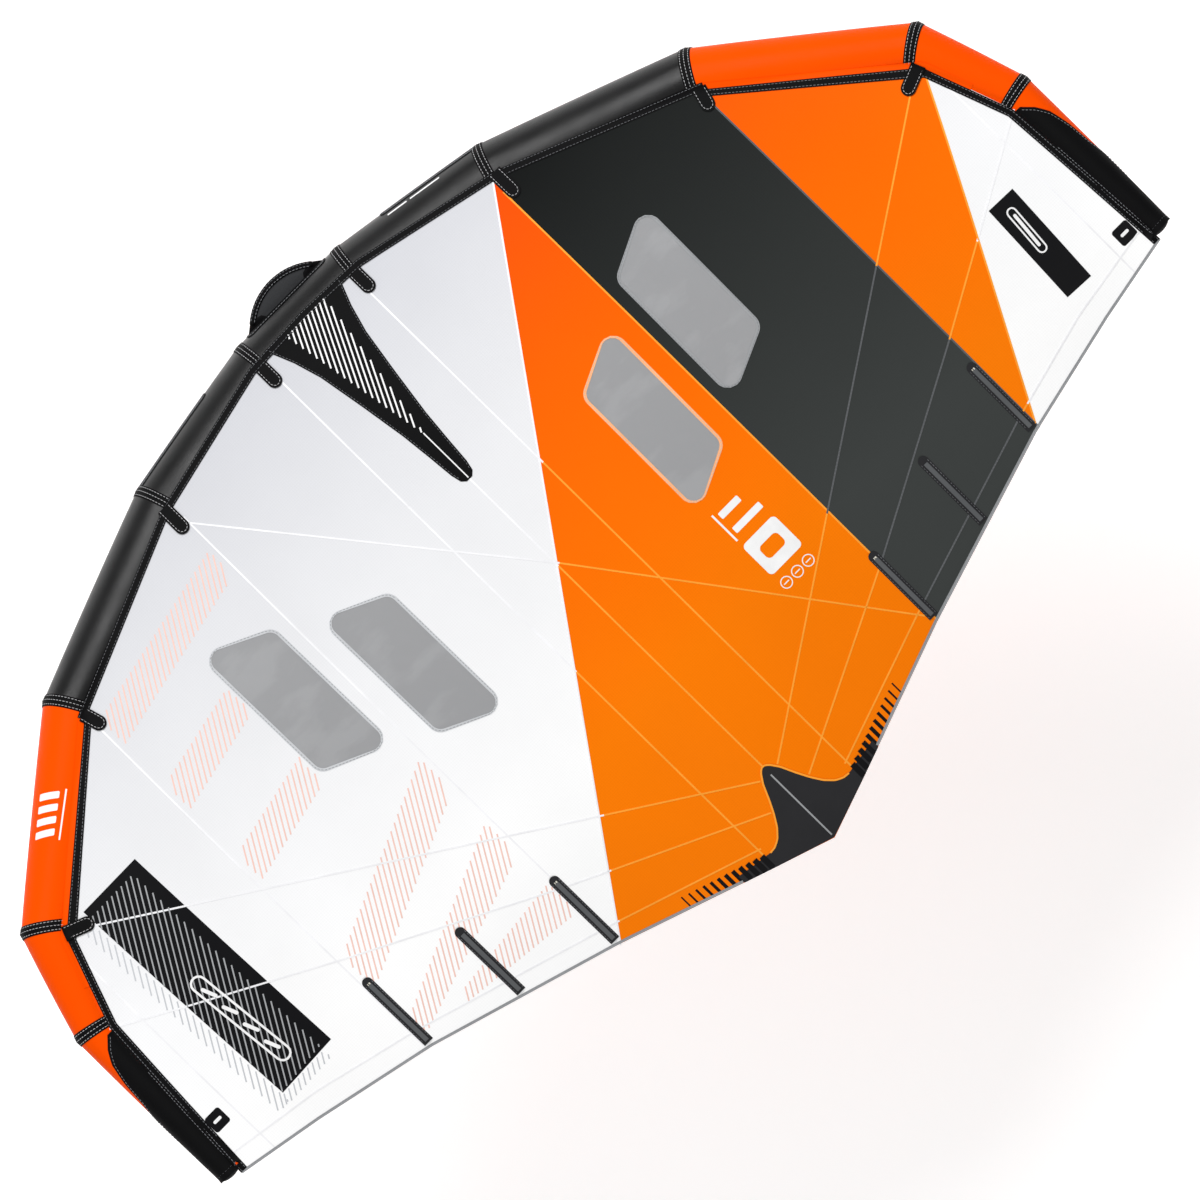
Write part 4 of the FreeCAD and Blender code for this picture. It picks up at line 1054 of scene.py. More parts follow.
def offset_path(path, distance):
    """A plan path moved sideways; positive is to the left of its run."""
    path = np.asarray(path, float)
    headings = np.gradient(path, axis=0)
    headings /= np.linalg.norm(headings, axis=1, keepdims=True)
    return path + np.column_stack([-headings[:, 1], headings[:, 0]]) * distance


def strip_layer(build, path, a, b, lift, thickness, height, across=3):
    """A closed strip between two offsets of a plan path, on a height field."""
    rows = []
    for k in range(across):
        edge = offset_path(path, a + (b - a) * k / (across - 1))
        rows.append(np.column_stack([edge, height(edge[:, 0], edge[:, 1]) + lift]))
    up = np.array([0, 0, thickness / 2])
    loop = [row + up for row in rows] + [row - up for row in rows[::-1]]
    verts = np.vstack(loop)
    build.add(verts, skin(len(loop), len(path), closed=True, caps=True))


# the seam between tube and canopy is covered: plain black tape inboard, a wider flap outboard
build = Build()
threads = Build()
half = walk(to_plan(SEAM[:5, :2]), 0.014)
middle_run = np.vstack([half[::-1] * [-1, 1], half[1:]])
black_reach = SEAM[3, 0]
inner_run = middle_run[np.abs(middle_run[:, 0]) < black_reach + 0.01]
strip_layer(build, inner_run, -0.017, 0.003, 0.0012, 0.0010, top_height, across=5)
for distance in (-0.014, 0.000):
    top_stitches(threads, offset_path(inner_run, distance), 0.0019, radius=0.0005)
build.piece("canopy_seam_tape", TRIM, slot="trim_black")
threads.piece("canopy_seam_stitches", GREY_THREAD)

build = Build()
threads = Build()
allowance = Build()
ALLOWANCE_ENDS = 1.500
for side in SIDES.values():
    outline = [(1.056, 0.372), (1.454, 0.710), (1.534, 0.934), (1.562, 1.400),
               (1.542, 1.400), (1.514, 0.938), (1.440, 0.730), (1.052, 0.392)]
    outline = to_plan([(side * x, s) for x, s in outline])
    cloth_layer(build, outline, 0.0012, 0.0012, spacing=0.011, height=top_height)
    back = walk(outline[4:], 0.012)
    top_stitches(threads, offset_path(back, 0.004 * side), 0.0020)
    front = walk(outline[:4], 0.012)
    top_stitches(threads, offset_path(front, 0.004 * side), 0.0020)
    covered = front[np.abs(front[:, 0]) < ALLOWANCE_ENDS]
    strip_layer(allowance, covered, -0.014 * side, 0.016 * side, 0.0004, 0.0008, top_height, across=11)
allowance.piece("tube_seam_allowance", TUBE_ORANGE)
build.piece("le_flap_cloth", TRIM, nodes=["le_flaps"], slot="trim_black")
threads.piece("le_flap_stitches", GREY_THREAD)

# ------------------------------------------------------------------ patches, hem and battens
LE_PATCH = [(0.125, 0.062), (0.098, 0.130), (0.078, 0.200), (0.068, 0.260), (0.058, 0.320), (0.049, 0.380),
            (0.040, 0.440), (0.032, 0.520), (0.026, 0.590), (0.020, 0.616), (0.009, 0.626)]
TE_PATCH = [(0.004, 1.613), (0.014, 1.620), (0.030, 1.644), (0.046, 1.680), (0.062, 1.712), (0.080, 1.741),
            (0.100, 1.762), (0.118, 1.771), (0.135, 1.773), (0.185, 1.766), (0.230, 1.758)]


def both_sides(points):
    return list(points) + [(-x, s) for x, s in reversed(points)]


build = Build()
cloth_layer(build, to_plan(both_sides(LE_PATCH)), 0.0010, 0.0010, spacing=0.014, height=top_height)
build.piece("le_centre_patch_cloth", TRIM, nodes=["le_centre_patch"], slot="trim_black")
threads = Build()
for side in SIDES.values():
    inner = [(side * (x - 0.004), s) for x, s in LE_PATCH[:-1]]
    top_stitches(threads, to_plan(inner), 0.0017, radius=0.0005)
threads.piece("le_centre_patch_stitches", GREY_THREAD)

tail_edge = [(0.230, 1.7795), (0.151, 1.807)]
te_corners = TE_PATCH + tail_edge
te_apex = [(0.012, 1.853), (0, 1.8565), (-0.012, 1.853)]
te_corners = te_corners + te_apex + [(-x, s) for x, s in reversed(te_corners)]
build = Build()
cloth_layer(build, to_plan(te_corners), 0.0010, 0.0010, spacing=0.016)
build.piece("te_centre_patch_cloth", PATCH, nodes=["te_centre_patch"], slot="patch_dark")
tape = Build()
threads = Build()
left_edge = walk(to_plan(TE_PATCH[::-1][2:]), 0.008)
right_edge = left_edge[::-1] * [-1, 1]
arch = np.vstack([left_edge, right_edge])
ribbon(tape, arch, 0.0045, 0.0019, 0.0008, step=0.008)
tape.piece("te_patch_piping", SEAM_ORANGE)
ribbon(threads, to_plan([(0, 1.640), (0, 1.848)]), 0.004, 0.0018, 0.0008)
threads.piece("te_patch_centre_seam", HEM)

build = Build()
threads = Build()
for side in SIDES.values():
    tail = [(0.232, 1.7785), (0.545, 1.668), (1.032, 1.517), (1.344, 1.445), (1.560, 1.4035)]
    path = walk(to_plan([(side * x, s) for x, s in tail]), 0.02)
    strip_layer(build, path, -0.0005 * side, -0.0075 * side, 0.0011, 0.0010, cloth_height)
    cloth_stitches(threads, offset_path(path, -0.0055 * side), 0.0017, radius=0.0005)
build.piece("te_hem_tape", HEM, nodes=["te_hem"], slot="patch_dark")
threads.piece("te_hem_stitches", GREY_THREAD)

POCKET_LENGTH = 0.218
pockets = Build()
middles = Build()
threads = Build()
linings = {side: Build() for side in SIDES.values()}
for side in SIDES.values():
    for span in (W, 0.792, 1.032):
        end = float(tail_setback(span)) - 0.014
        start = end - POCKET_LENGTH
        x = side * span

        def crowned(px, py, x=x):
            return cloth_height(px, py) + 0.0022 * np.clip(1 - ((px - x) / 0.011) ** 2, 0, 1)

        corners = [(x - 0.0135, end), (x + 0.0135, end), (x + 0.0135, start + 0.0135)]
        turn = np.linspace(0, math.pi, 11)[1:-1]
        corners += [(x + 0.0135 * math.cos(a), start + 0.0135 - 0.0135 * math.sin(a)) for a in turn]
        corners.append((x - 0.0135, start + 0.0135))
        cloth_layer(pockets, to_plan(corners), 0.0010, 0.0010, spacing=0.006, height=crowned)
        strip_layer(middles, walk(to_plan([(x, start + 0.020), (x, end - 0.006)]), 0.015), -0.0055, 0.0055,
                    0.0020, 0.0010, crowned, across=5)
        for off in (-0.0105, 0.0105):
            run = walk(to_plan([(x + off, start + 0.012), (x + off, end - 0.003)]), 0.02)
            cloth_stitches(threads, run, 0.0018, radius=0.0006)
        lining = walk(to_plan([(x, start + 0.004), (x, end)]), 0.015)
        strip_layer(linings[side], lining, -0.012, 0.012, -0.0020, 0.0022, cloth_height, across=5)
linings[1].piece("batten_linings_left", WHITE)
linings[-1].piece("batten_linings_right", DARK)
pockets.piece("batten_pocket_cloth", PATCH, nodes=["batten_pockets"], slot="patch_dark")
middles.piece("batten_pocket_webbing", SEAM_DARK)
threads.piece("batten_pocket_stitches", GREY_THREAD)

# borders of the windows
borders = {colour: Build() for colour in SEAM_LOOKS}
threads = {colour: Build() for colour in SEAM_LOOKS}
WINDOW_CLOTH = {("inner", 1): "white", ("outer", 1): "white", ("inner", -1): "orange", ("outer", -1): "dark"}
for (place, side), colour in WINDOW_CLOTH.items():
    cloth_layer(borders[colour], window_outline(place, side, 0.006), 0.0008, 0.0008,
                [window_outline(place, side, -0.002)], spacing=0.012)
    cloth_stitches(threads[colour], closed(window_outline(place, side, 0.0035)), 0.0013, radius=0.0006)
BORDER_LOOKS = {"white": (HEM_LIGHT, GREY_THREAD), "orange": (SEAM_PEACH, LIGHT_THREAD),
                "dark": (HEM, GREY_THREAD)}
for colour, (tape, stitch) in BORDER_LOOKS.items():
    borders[colour].piece(f"window_border_{colour}", tape)
    threads[colour].piece(f"window_stitches_{colour}", stitch)

# ------------------------------------------------------------------ printed graphics, all generic
PRINT = 0.0003
HATCH_ANGLE = math.radians(59)
PATCH_HATCH_ANGLE = math.radians(63.5)


def print_layer(build, outline, level=1, spacing=0.02, height=None):
    cloth_layer(build, outline, 0.0004 + 0.0003 * level, PRINT, spacing=spacing, height=height)


def hatch(build, region, pitch, width, level=1, height=None, angle=HATCH_ANGLE, keep_out=()):
    """Slanted bars that fill a convex plan region, apart from the loops to keep out of."""
    region = np.asarray(region, float)
    along = np.array([math.cos(angle), math.sin(angle)])
    across = np.array([-along[1], along[0]])
    reach = region @ across
    for offset in np.arange(reach.min() + pitch / 2, reach.max(), pitch):
        marks = []
        for a, b in zip(region, np.roll(region, -1, axis=0)):
            da, db = a @ across - offset, b @ across - offset
            if da * db < 0:
                marks.append((a + (b - a) * da / (da - db)) @ along)
        if len(marks) == 2 and abs(marks[0] - marks[1]) > width:
            ends = np.array([across * offset + along * mark for mark in sorted(marks)])
            path = walk(ends, 0.010)
            clear = np.ones(len(path), bool)
            for loop in keep_out:
                clear &= ~inside(path, loop)
            edges = np.flatnonzero(np.diff(np.concatenate([[False], clear, [False]]).astype(int)))
            for first, last in zip(edges[::2], edges[1::2]):
                if last - first > 1 and (last - first > 4 or not keep_out):
                    run = path[first:last][[0, -1]]
                    ribbon(build, run, width, 0.0004 + 0.0003 * level, PRINT, step=0.04, height=height)


build = Build()
patch_hatch = to_plan([(0.066, 0.070), (0, 0.478), (-0.066, 0.070)])
hatch(build, patch_hatch, 0.0120, 0.0040, level=4, height=top_height, angle=PATCH_HATCH_ANGLE)
ribbon(build, to_plan([(0, 0.470), (0, 0.622)]), 0.0030, 0.0019, 0.0004, height=top_height)
build.piece("centre_patch_hatch", PRINT_WHITE)

badge = to_plan([(1.382, 0.696), (1.207, 0.694), (1.188, 1.330), (1.358, 1.337)])
badge_right = to_plan([(-1.322, 1.063), (-1.399, 1.066), (-1.385, 1.346), (-1.310, 1.342)])
blacks = Build()
print_layer(blacks, badge)
print_layer(blacks, badge_right)
for corners in ([(1.488, 1.248), (1.534, 1.248), (1.534, 1.294), (1.488, 1.294)],
                [(-1.536, 1.308), (-1.488, 1.308), (-1.488, 1.354), (-1.536, 1.354)]):
    print_layer(blacks, rounded(to_plan(corners), 0.007))
for side in SIDES.values():
    for k in range(12):
        x = 0.156 + k * 0.0187
        wide = 0.0068 * (1 - k / 13) + 0.0008
        start = 1.765 - (x - 0.153) * 0.339
        end = np.interp(x, TAIL[:, 0], TAIL[:, 1]) - 0.002
        corners = [(x - wide, start), (x + wide, start), (x + wide, end), (x - wide, end)]
        if k > 3:
            print_layer(blacks, to_plan([(side * px, s) for px, s in corners]))
        else:
            cloth_layer(blacks, to_plan([(side * px, s) for px, s in corners]), 0.0018, PRINT)
blacks.piece("black_prints", PRINT_BLACK)

greys = Build()
inset = to_plan([(1.381, 0.718), (1.236, 0.716), (1.217, 1.322), (1.357, 1.334)])
hatch(greys, inset, 0.0138, 0.0034, level=2)
greys.piece("badge_hatch", PRINT_MID)
shadow = Build()
hatch(shadow, to_plan([(1.416, 0.735), (1.388, 0.735), (1.362, 1.360), (1.396, 1.366)]), 0.0138, 0.0034)
hatch(shadow, to_plan([(1.366, 1.341), (1.215, 1.335), (1.221, 1.360), (1.372, 1.366)]), 0.0138, 0.0034)
shadow.piece("badge_shadow_hatch", PRINT_GREY)

whites = Build()


def capsule(a, b, radius, steps=8):
    """A round-ended plan outline from a to b."""
    a, b = np.asarray(a, float), np.asarray(b, float)
    run = unit(b - a)
    across = np.array([-run[1], run[0]])
    points = []
    for centre, first in ((b, -math.pi / 2), (a, math.pi / 2)):
        for t in np.linspace(first, first + math.pi, steps):
            points.append(centre + radius * (math.cos(t) * run + math.sin(t) * across))
    return np.array(points)


def hoop(build, a, b, radius, width, level):
    cloth_layer(build, capsule(a, b, radius), 0.0004 + 0.0003 * level, PRINT,
                [capsule(a, b, radius - width)], spacing=0.012)


mark_ends = to_plan([(1.312, 1.012), (1.290, 1.270)])
hoop(whites, mark_ends[0], mark_ends[1], 0.021, 0.0055, 3)
for k in range(4):
    spot = mark_ends[0] + (mark_ends[1] - mark_ends[0]) * (k + 0.5) / 4
    print_layer(whites, capsule(spot + [0.006, -0.016], spot + [-0.006, 0.016], 0.0045), 3, spacing=0.01)
mark_ends = to_plan([(-1.358, 1.105), (-1.350, 1.215)])
hoop(whites, mark_ends[0], mark_ends[1], 0.013, 0.0040, 3)
print_layer(whites, capsule(mark_ends[0] + [0, 0.01], mark_ends[1] - [0, 0.01], 0.004), 3, spacing=0.01)
for x, s in ((1.511, 1.271), (-1.512, 1.331)):
    spot = to_plan([(x, s)])[0]
    print_layer(whites, capsule(spot + [-0.008, 0], spot + [0.008, 0], 0.004), 3, spacing=0.01)
# a bar and two lines over a rounded block, then three small rings
print_layer(whites, to_plan([(-0.341, 1.102), (-0.346, 1.102), (-0.346, 1.188), (-0.341, 1.188)]), 1)
for start, end, s in ((-0.356, -0.420, 1.118), (-0.356, -0.446, 1.166)):
    print_layer(whites, rounded(to_plan([(start, s - 0.009), (end, s - 0.009), (end, s + 0.009),
                                         (start, s + 0.009)]), 0.003), 1)
block = to_plan([(-0.341, 1.205), (-0.449, 1.205), (-0.449, 1.306), (-0.341, 1.306)])
hole = rounded(to_plan([(-0.365, 1.236), (-0.425, 1.236), (-0.425, 1.275), (-0.365, 1.275)]), 0.012)
cloth_layer(whites, rounded(block, 0.012), 0.0007, PRINT, [hole])
for k in range(3):
    spot = to_plan([(-0.356 - 0.037 * k, 1.342)])[0]
    turn = full_turn(20)
    circle = np.column_stack([np.cos(turn), np.sin(turn)])
    cloth_layer(whites, spot + circle * 0.0155, 0.0007, PRINT, [spot + circle * 0.0130], spacing=0.01)
    print_layer(whites, capsule(spot - [0.007, 0], spot + [0.007, 0], 0.0014), 1, spacing=0.01)
whites.piece("white_prints", PRINT_WHITE)

# broad slanted bands of pale hatching on the left outer panel
reds = Build()
BAND_X = (0.562, 1.030)
for start, slope, tall in ((0.300, -0.10, 0.085), (0.520, -0.10, 0.085), (0.760, -0.10, 0.085),
                           (1.010, -0.20, 0.110), (1.230, -0.20, 0.110), (1.440, -0.20, 0.100)):
    a, b = BAND_X
    region = [(a, start), (b, start - slope), (b, start - slope + tall), (a, start + tall)]
    region = [(x, min(s, float(tail_setback(x)) - 0.03)) for x, s in region]
    region = [(x, max(s, float(seam_setback(x)) + 0.03)) for x, s in region]
    hatch(reds, to_plan(region), 0.0130, 0.0036, keep_out=[window_outline("outer", 1, 0.010)])
reds.piece("pale_hatch_bands", PRINT_RED)

# ------------------------------------------------------------------ layers wrapped on tubes
def ring_about(place, radius, angles, across, up):
    """A circle of points in the plane of two directions."""
    return place + radius * (np.cos(angles)[:, None] * across + np.sin(angles)[:, None] * up)


def add_loops(build, loops):
    """A closed ring of closed loops, each with as many points as the next."""
    faces = grid_faces(len(loops), len(loops[0]), wrap_rows=True, wrap_columns=True)
    build.add(np.array(loops).reshape(-1, 3), faces)


def mapped_layer(build, outline, surface, low, high, spacing=0.008):
    """A closed layer over an outline in a surface's own metres, between two lifts."""
    flat, triangles = fill(outline, (), spacing)
    top = surface(flat[:, 0], flat[:, 1], high)
    bottom = surface(flat[:, 0], flat[:, 1], low)
    count = len(flat)
    faces = [tuple(t) for t in triangles]
    faces += [tuple(t[::-1] + count) for t in triangles]
    faces += [(b, a, a + count, b + count) for a, b in boundary_edges(triangles)]
    build.add(np.vstack([top, bottom]), faces)


def mapped_stitches(build, path, surface, lift, step=0.008, **how):
    path = walk(path, step)
    points = surface(path[:, 0], path[:, 1], lift)
    below = surface(path[:, 0], path[:, 1], lift - 0.004)
    stitches(build, points, points - below, **how)


def tube_surface(i, side, zero_angle):
    """Metres along segment i and round it from an angle, as a surface."""
    length = segment_length(i)
    radius = (JOINTS[max(i - 1, 0), 3] + JOINTS[i, 3]) / 2

    def surface(along, around, lift):
        out = np.empty((len(along), 3))
        for k, (s, a) in enumerate(zip(along, around)):
            out[k] = tube_skin(i, side, [s / length], [zero_angle + a / radius], lift)[0, 0]
        return out
    return surface


def box_outline(a, b, c, d, radius):
    return rounded([(a, c), (b, c), (b, d), (a, d)], radius)


# covers over the top of the last segments
COVER = [(0.026, 43), (0.030, 66), (0.060, 96), (0.095, 120), (0.150, 138), (0.210, 148), (0.240, 162),
         (0.272, 184), (0.330, 190), (0.4735, 192), (0.4735, 38), (0.430, 44), (0.300, 45), (0.160, 43)]
build = Build()
threads = Build()
for side in SIDES.values():
    radius = (JOINTS[4, 3] + JOINTS[5, 3]) / 2
    outline = np.array([(s, math.radians(a) * radius) for s, a in COVER])
    surface = tube_surface(LAST, side, 0.0)
    mapped_layer(build, outline, surface, 0.0003, 0.0013, spacing=0.010)
    mapped_stitches(threads, outline[1:9] + [0.004, -0.004], surface, 0.0014)
    mapped_stitches(threads, outline[10:] + [-0.004, 0.006], surface, 0.0014)
build.piece("tip_cover_cloth", TRIM, nodes=["tip_covers"], slot="trim_black")
threads.piece("tip_cover_stitches", GREY_THREAD)

# scuff pads and the patch behind the leading edge handle
build = Build()
threads = Build()
first_length = segment_length(1)
first_span = CENTRES[1, 0] - CENTRES[0, 0]
SCUFF_SPANS = (0.290, 0.560)
for side in SIDES.values():
    surface = tube_surface(1, side, math.pi)
    ends = [(span - CENTRES[0, 0]) / first_span * first_length for span in SCUFF_SPANS]
    outline = box_outline(ends[0], ends[1], -0.036, 0.040, 0.012)
    mapped_layer(build, outline, surface, 0.0003, 0.0017, spacing=0.012)
    for inset in (0.004, 0.009):
        edge = box_outline(ends[0] + inset, ends[1] - inset, -0.036 + inset, 0.040 - inset, 0.010)
        mapped_stitches(threads, closed(edge), surface, 0.0018)
build.piece("scuff_pad_cloth", PATCH, nodes=["scuff_pads"], slot="trim_black")
threads.piece("scuff_pad_stitches", GREY_THREAD)

build = Build()
threads = Build()
surface = tube_surface(0, 1, math.pi)
middle_s = segment_length(0) / 2
outline = box_outline(middle_s - 0.128, middle_s + 0.128, -0.042, 0.042, 0.016)
mapped_layer(build, outline, surface, 0.0003, 0.0016, spacing=0.012)
edge = box_outline(middle_s - 0.123, middle_s + 0.123, -0.037, 0.037, 0.013)
mapped_stitches(threads, closed(edge), surface, 0.0017)
build.piece("nose_patch_cloth", TRIM, nodes=["nose_patch"], slot="trim_black")
threads.piece("nose_patch_stitches", GREY_THREAD)

# slanted bars on the left orange segment and thin marks on the right black one
build = Build()
surface = tube_surface(3, 1, math.radians(118))
for k in range(4):
    at = segment_length(3) * 0.40 + 0.030 * k
    bar = [(at - 0.004, -0.026), (at + 0.013, -0.026), (at + 0.023, 0.026), (at + 0.006, 0.026)]
    mapped_layer(build, rounded(bar, 0.003), surface, 0.0001, 0.0004, spacing=0.010)
line_start = segment_length(3) * 0.38
underline = box_outline(line_start, line_start + 0.125, -0.042, -0.038, 0.0015)
mapped_layer(build, underline, surface, 0.0001, 0.0004)
surface = tube_surface(1, -1, math.radians(150))
for a, b in ((0.150, 0.205), (0.215, 0.300)):
    mapped_layer(build, box_outline(a, b, -0.003, 0.003, 0.0015), surface, 0.0001, 0.0004)
build.piece("tube_prints", PRINT_WHITE)

# ------------------------------------------------------------------ leading edge handle
RIM_RADIUS = 0.008
RIM_FOOT = np.array([0.100, -0.539])
RIM_TOP = -0.575
sagitta = RIM_FOOT[1] - RIM_TOP
RIM_BEND = (RIM_FOOT[0] ** 2 + sagitta ** 2) / (2 * sagitta)
RIM_MIDDLE = RIM_TOP + RIM_BEND
foot_angle = math.atan2(RIM_FOOT[0], RIM_MIDDLE - RIM_FOOT[1])


def rim_frame(turn):
    """Place, outward direction and heading on the handle's arch."""
    outward = np.array([math.sin(turn), -math.cos(turn), 0.0])
    heading = np.array([math.cos(turn), math.sin(turn), 0.0])
    return np.array([0.0, RIM_MIDDLE, 0.0]) + outward * RIM_BEND, outward, heading


build = Build()
angles = full_turn(28)
rows = []
turns = np.linspace(-foot_angle, foot_angle, 71)
for tip, turn in [(-1, turns[0])] * 5 + [(0, t) for t in turns] + [(1, turns[-1])] * 5:
    rows.append((tip, turn))
profiles = []
for index, (tip, turn) in enumerate(rows):
    place, outward, heading = rim_frame(turn)
    radius = RIM_RADIUS - 0.00025 * (1 + math.sin(index * 1.9))
    if tip:
        k = index if tip < 0 else len(rows) - 1 - index
        tilt = (5 - k) / 6 * math.pi / 2
        place = place + heading * tip * 0.007 * math.sin(tilt)
        radius = RIM_RADIUS * math.cos(tilt)
    profiles.append(ring_about(place, radius, angles, outward, np.array([0, 0, 1])))
verts = np.array(profiles).reshape(-1, 3)
faces = grid_faces(len(profiles), len(angles), wrap_columns=True)
faces.append(tuple(range(len(angles))))
faces.append(tuple(len(verts) - 1 - k for k in range(len(angles))))
build.add(verts, faces)
rim = build.piece("le_handle_rim_cover", WEBBING, body="nose_handle", nodes=["le_handle_rim"],
                  slot="webbing")
threads = Build()
for lean in (math.radians(60), math.radians(120)):
    path = []
    normals = []
    for turn in turns:
        place, outward, heading = rim_frame(turn)
        normal = math.cos(lean) * outward + math.sin(lean) * np.array([0, 0, 1])
        path.append(place + normal * (RIM_RADIUS + 0.0002))
        normals.append(normal)
    stitches(threads, path, normals)
threads.piece("le_handle_rim_stitches", GREY_THREAD, body="nose_handle")

web_outline = []
inner = RIM_BEND - RIM_RADIUS + 0.001
for turn in np.linspace(-foot_angle + 0.02, foot_angle - 0.02, 41):
    web_outline.append((inner * math.sin(turn), RIM_MIDDLE - inner * math.cos(turn)))
web_outline += [(0.084, -0.5275), (-0.084, -0.5275)]
flat, triangles = fill(np.array(web_outline), (), 0.005)
edge_gap = distance_to(flat, resample(np.array(web_outline), 0.004))
ribs = 0.0004 * np.sin(flat[:, 0] * 2 * math.pi / 0.012)
crown = 0.0012 + 0.0013 * np.clip(edge_gap / 0.010, 0, 1) + ribs * np.clip(edge_gap / 0.008, 0, 1)
count = len(flat)
verts = np.vstack([np.column_stack([flat, crown]), np.column_stack([flat, -crown])])
faces = [tuple(t) for t in triangles] + [tuple(t[::-1] + count) for t in triangles]
faces += [(b, a, a + count, b + count) for a, b in boundary_edges(triangles)]
build = Build()
build.add(verts, faces)
web = build.piece("le_handle_web_pad", WEB_FOAM, body=None, nodes=["le_handle_web"], slot="grip_foam",
                  sharp=60)
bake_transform(web)

# gussets join the handle's feet to the patch on the tube
for side_name, side in SIDES.items():
    gusset = [(0.072, -0.5385), (0.096, -0.5440), (0.108, -0.5410), (0.117, -0.5340), (0.127, -0.5262),
              (0.127, -0.5245), (0.064, -0.5245), (0.066, -0.5300)]
    outline = np.array([(side * x, y) for x, y in gusset])
    flat, triangles = fill(outline, (), 0.0035)
    gap = distance_to(flat, resample(outline, 0.002))
    thick = 0.0022 + 0.0042 * np.clip((-flat[:, 1] - 0.529) / 0.012, 0, 1) * np.clip(gap / 0.004, 0, 1)
    count = len(flat)
    verts = np.vstack([np.column_stack([flat, thick]), np.column_stack([flat, -thick])])
    faces = [tuple(t) for t in triangles] + [tuple(t[::-1] + count) for t in triangles]
    faces += [(b, a, a + count, b + count) for a, b in boundary_edges(triangles)]
    build = Build()
    build.add(verts, faces)
    gusset_piece = build.piece(f"le_handle_gusset_{side_name}", WEBBING, body=None, slot="webbing", sharp=60)
    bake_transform(gusset_piece)

# ------------------------------------------------------------------ strut
STRUT_FRONT = 0.150
STRUT_BACK = 1.760
MIDDLE_TAIL = 1.858


def strut_radius(setback):
    share = (setback - STRUT_FRONT) / (STRUT_BACK - STRUT_FRONT)
    bulge = 0.014 * np.sin(math.pi * np.clip(share * 1.6, None, 1))
    return (0.132 * (1 - share) + 0.056 * share + bulge) / 2


def strut_middle(setback):
    """Height of the strut's centreline."""
    setback = np.asarray(setback, float)
    share = (setback - SEAM[0, 1]) / (MIDDLE_TAIL - SEAM[0, 1])
    level = SEAM[0, 2] * (1 - share) + 0.020 * share
    bow = 0.36 * share * (1 - share) ** 2 + 0.25 * share ** 2 * (1 - share)
    return level + (MIDDLE_TAIL - SEAM[0, 1]) * bow - strut_radius(setback) - 0.002


def strut_surface(setback, angle, lift=0.0):
    """Points on the strut; angles start at its left and rise."""
    setback, angle = np.broadcast_arrays(np.asarray(setback, float), np.asarray(angle, float))
    step = 0.02
    slope = (strut_middle(setback + step) - strut_middle(setback - step)) / (2 * step)
    lean = np.arctan(slope)
    folds = 0.0009 * (0.5 + 0.5 * np.sin(7 * angle + 1.0))
    for seam in STRUT_SEAMS:
        away = np.abs(setback - seam)
        lift = lift - folds * np.exp(-away / 0.035) * (1 - np.exp(-away / 0.010))
    radius = strut_radius(setback) + lift
    x = radius * np.cos(angle)
    up = radius * np.sin(angle)
    y = NOSE_Y + setback - up * np.sin(lean)
    z = strut_middle(setback) + up * np.cos(lean)
    return np.stack([x, y, z], axis=-1)


STRUT_SEAMS = (0.620, 1.180)
NOSE_RADIUS = 0.1055
angles = full_turn(56)
tries = np.linspace(STRUT_FRONT, 0.32, 120)
grid = strut_surface(tries[:, None], angles[None])
front_y = CENTRES[0, 1] + np.sqrt(np.maximum(NOSE_RADIUS ** 2 - grid[..., 2] ** 2, 0))
clear = grid[..., 1] >= front_y
starts = tries[np.argmax(clear, axis=0)]
shares = graded(STRUT_BACK - STRUT_FRONT, fine=0.008, coarse=0.022)
rows = [strut_surface(starts * (1 - t) + STRUT_BACK * t, angles) for t in shares]
middle = rows[0].mean(axis=0)
caps = []
for factor in (0.66, 0.33):
    ring = middle + (rows[0] - middle) * factor
    ring[:, 1] = CENTRES[0, 1] + np.sqrt(np.maximum(NOSE_RADIUS ** 2 - ring[:, 2] ** 2, 0))
    caps.append(ring)
middle[1] = CENTRES[0, 1] + math.sqrt(max(NOSE_RADIUS ** 2 - middle[2] ** 2, 0))
rings = caps[::-1] + rows
verts = list(np.array(rings).reshape(-1, 3))
faces = grid_faces(len(rings), len(angles), wrap_columns=True)
for row, point in ((0, middle), (len(rings) - 1, rows[-1].mean(axis=0))):
    verts.append(point)
    for c in range(len(angles)):
        faces.append((row * len(angles) + c, row * len(angles) + (c + 1) % len(angles), len(verts) - 1))
build = Build()
build.add(verts, faces)
build.piece("strut_cloth", TUBE_BLACK, nodes=["strut"], slot="tube_black")

build = Build()
end_ring = rows[-1]
end_middle = end_ring.mean(axis=0)
ahead = unit(strut_surface(STRUT_BACK, 0.0) - strut_surface(STRUT_BACK - 0.02, 0.0))
ahead[0] = 0
ahead = unit(ahead)
domes = []
for tilt in np.linspace(0, math.pi / 2, 9)[:-1]:
    spread = (end_ring - end_middle) * math.cos(tilt) * 0.998
    domes.append(end_middle + spread + ahead * DOME * math.sin(tilt))
verts = list(np.array(domes).reshape(-1, 3))
faces = grid_faces(len(domes), len(angles), wrap_columns=True)
for row, point in ((len(domes) - 1, end_middle + ahead * DOME), (0, end_middle - ahead * 0.002)):
    verts.append(point)
    for c in range(len(angles)):
        faces.append((row * len(angles) + c, row * len(angles) + (c + 1) % len(angles), len(verts) - 1))
build.add(verts, faces)
build.piece("strut_end_dome", TRIM, nodes=["strut_end_panel"], slot="tube_black")

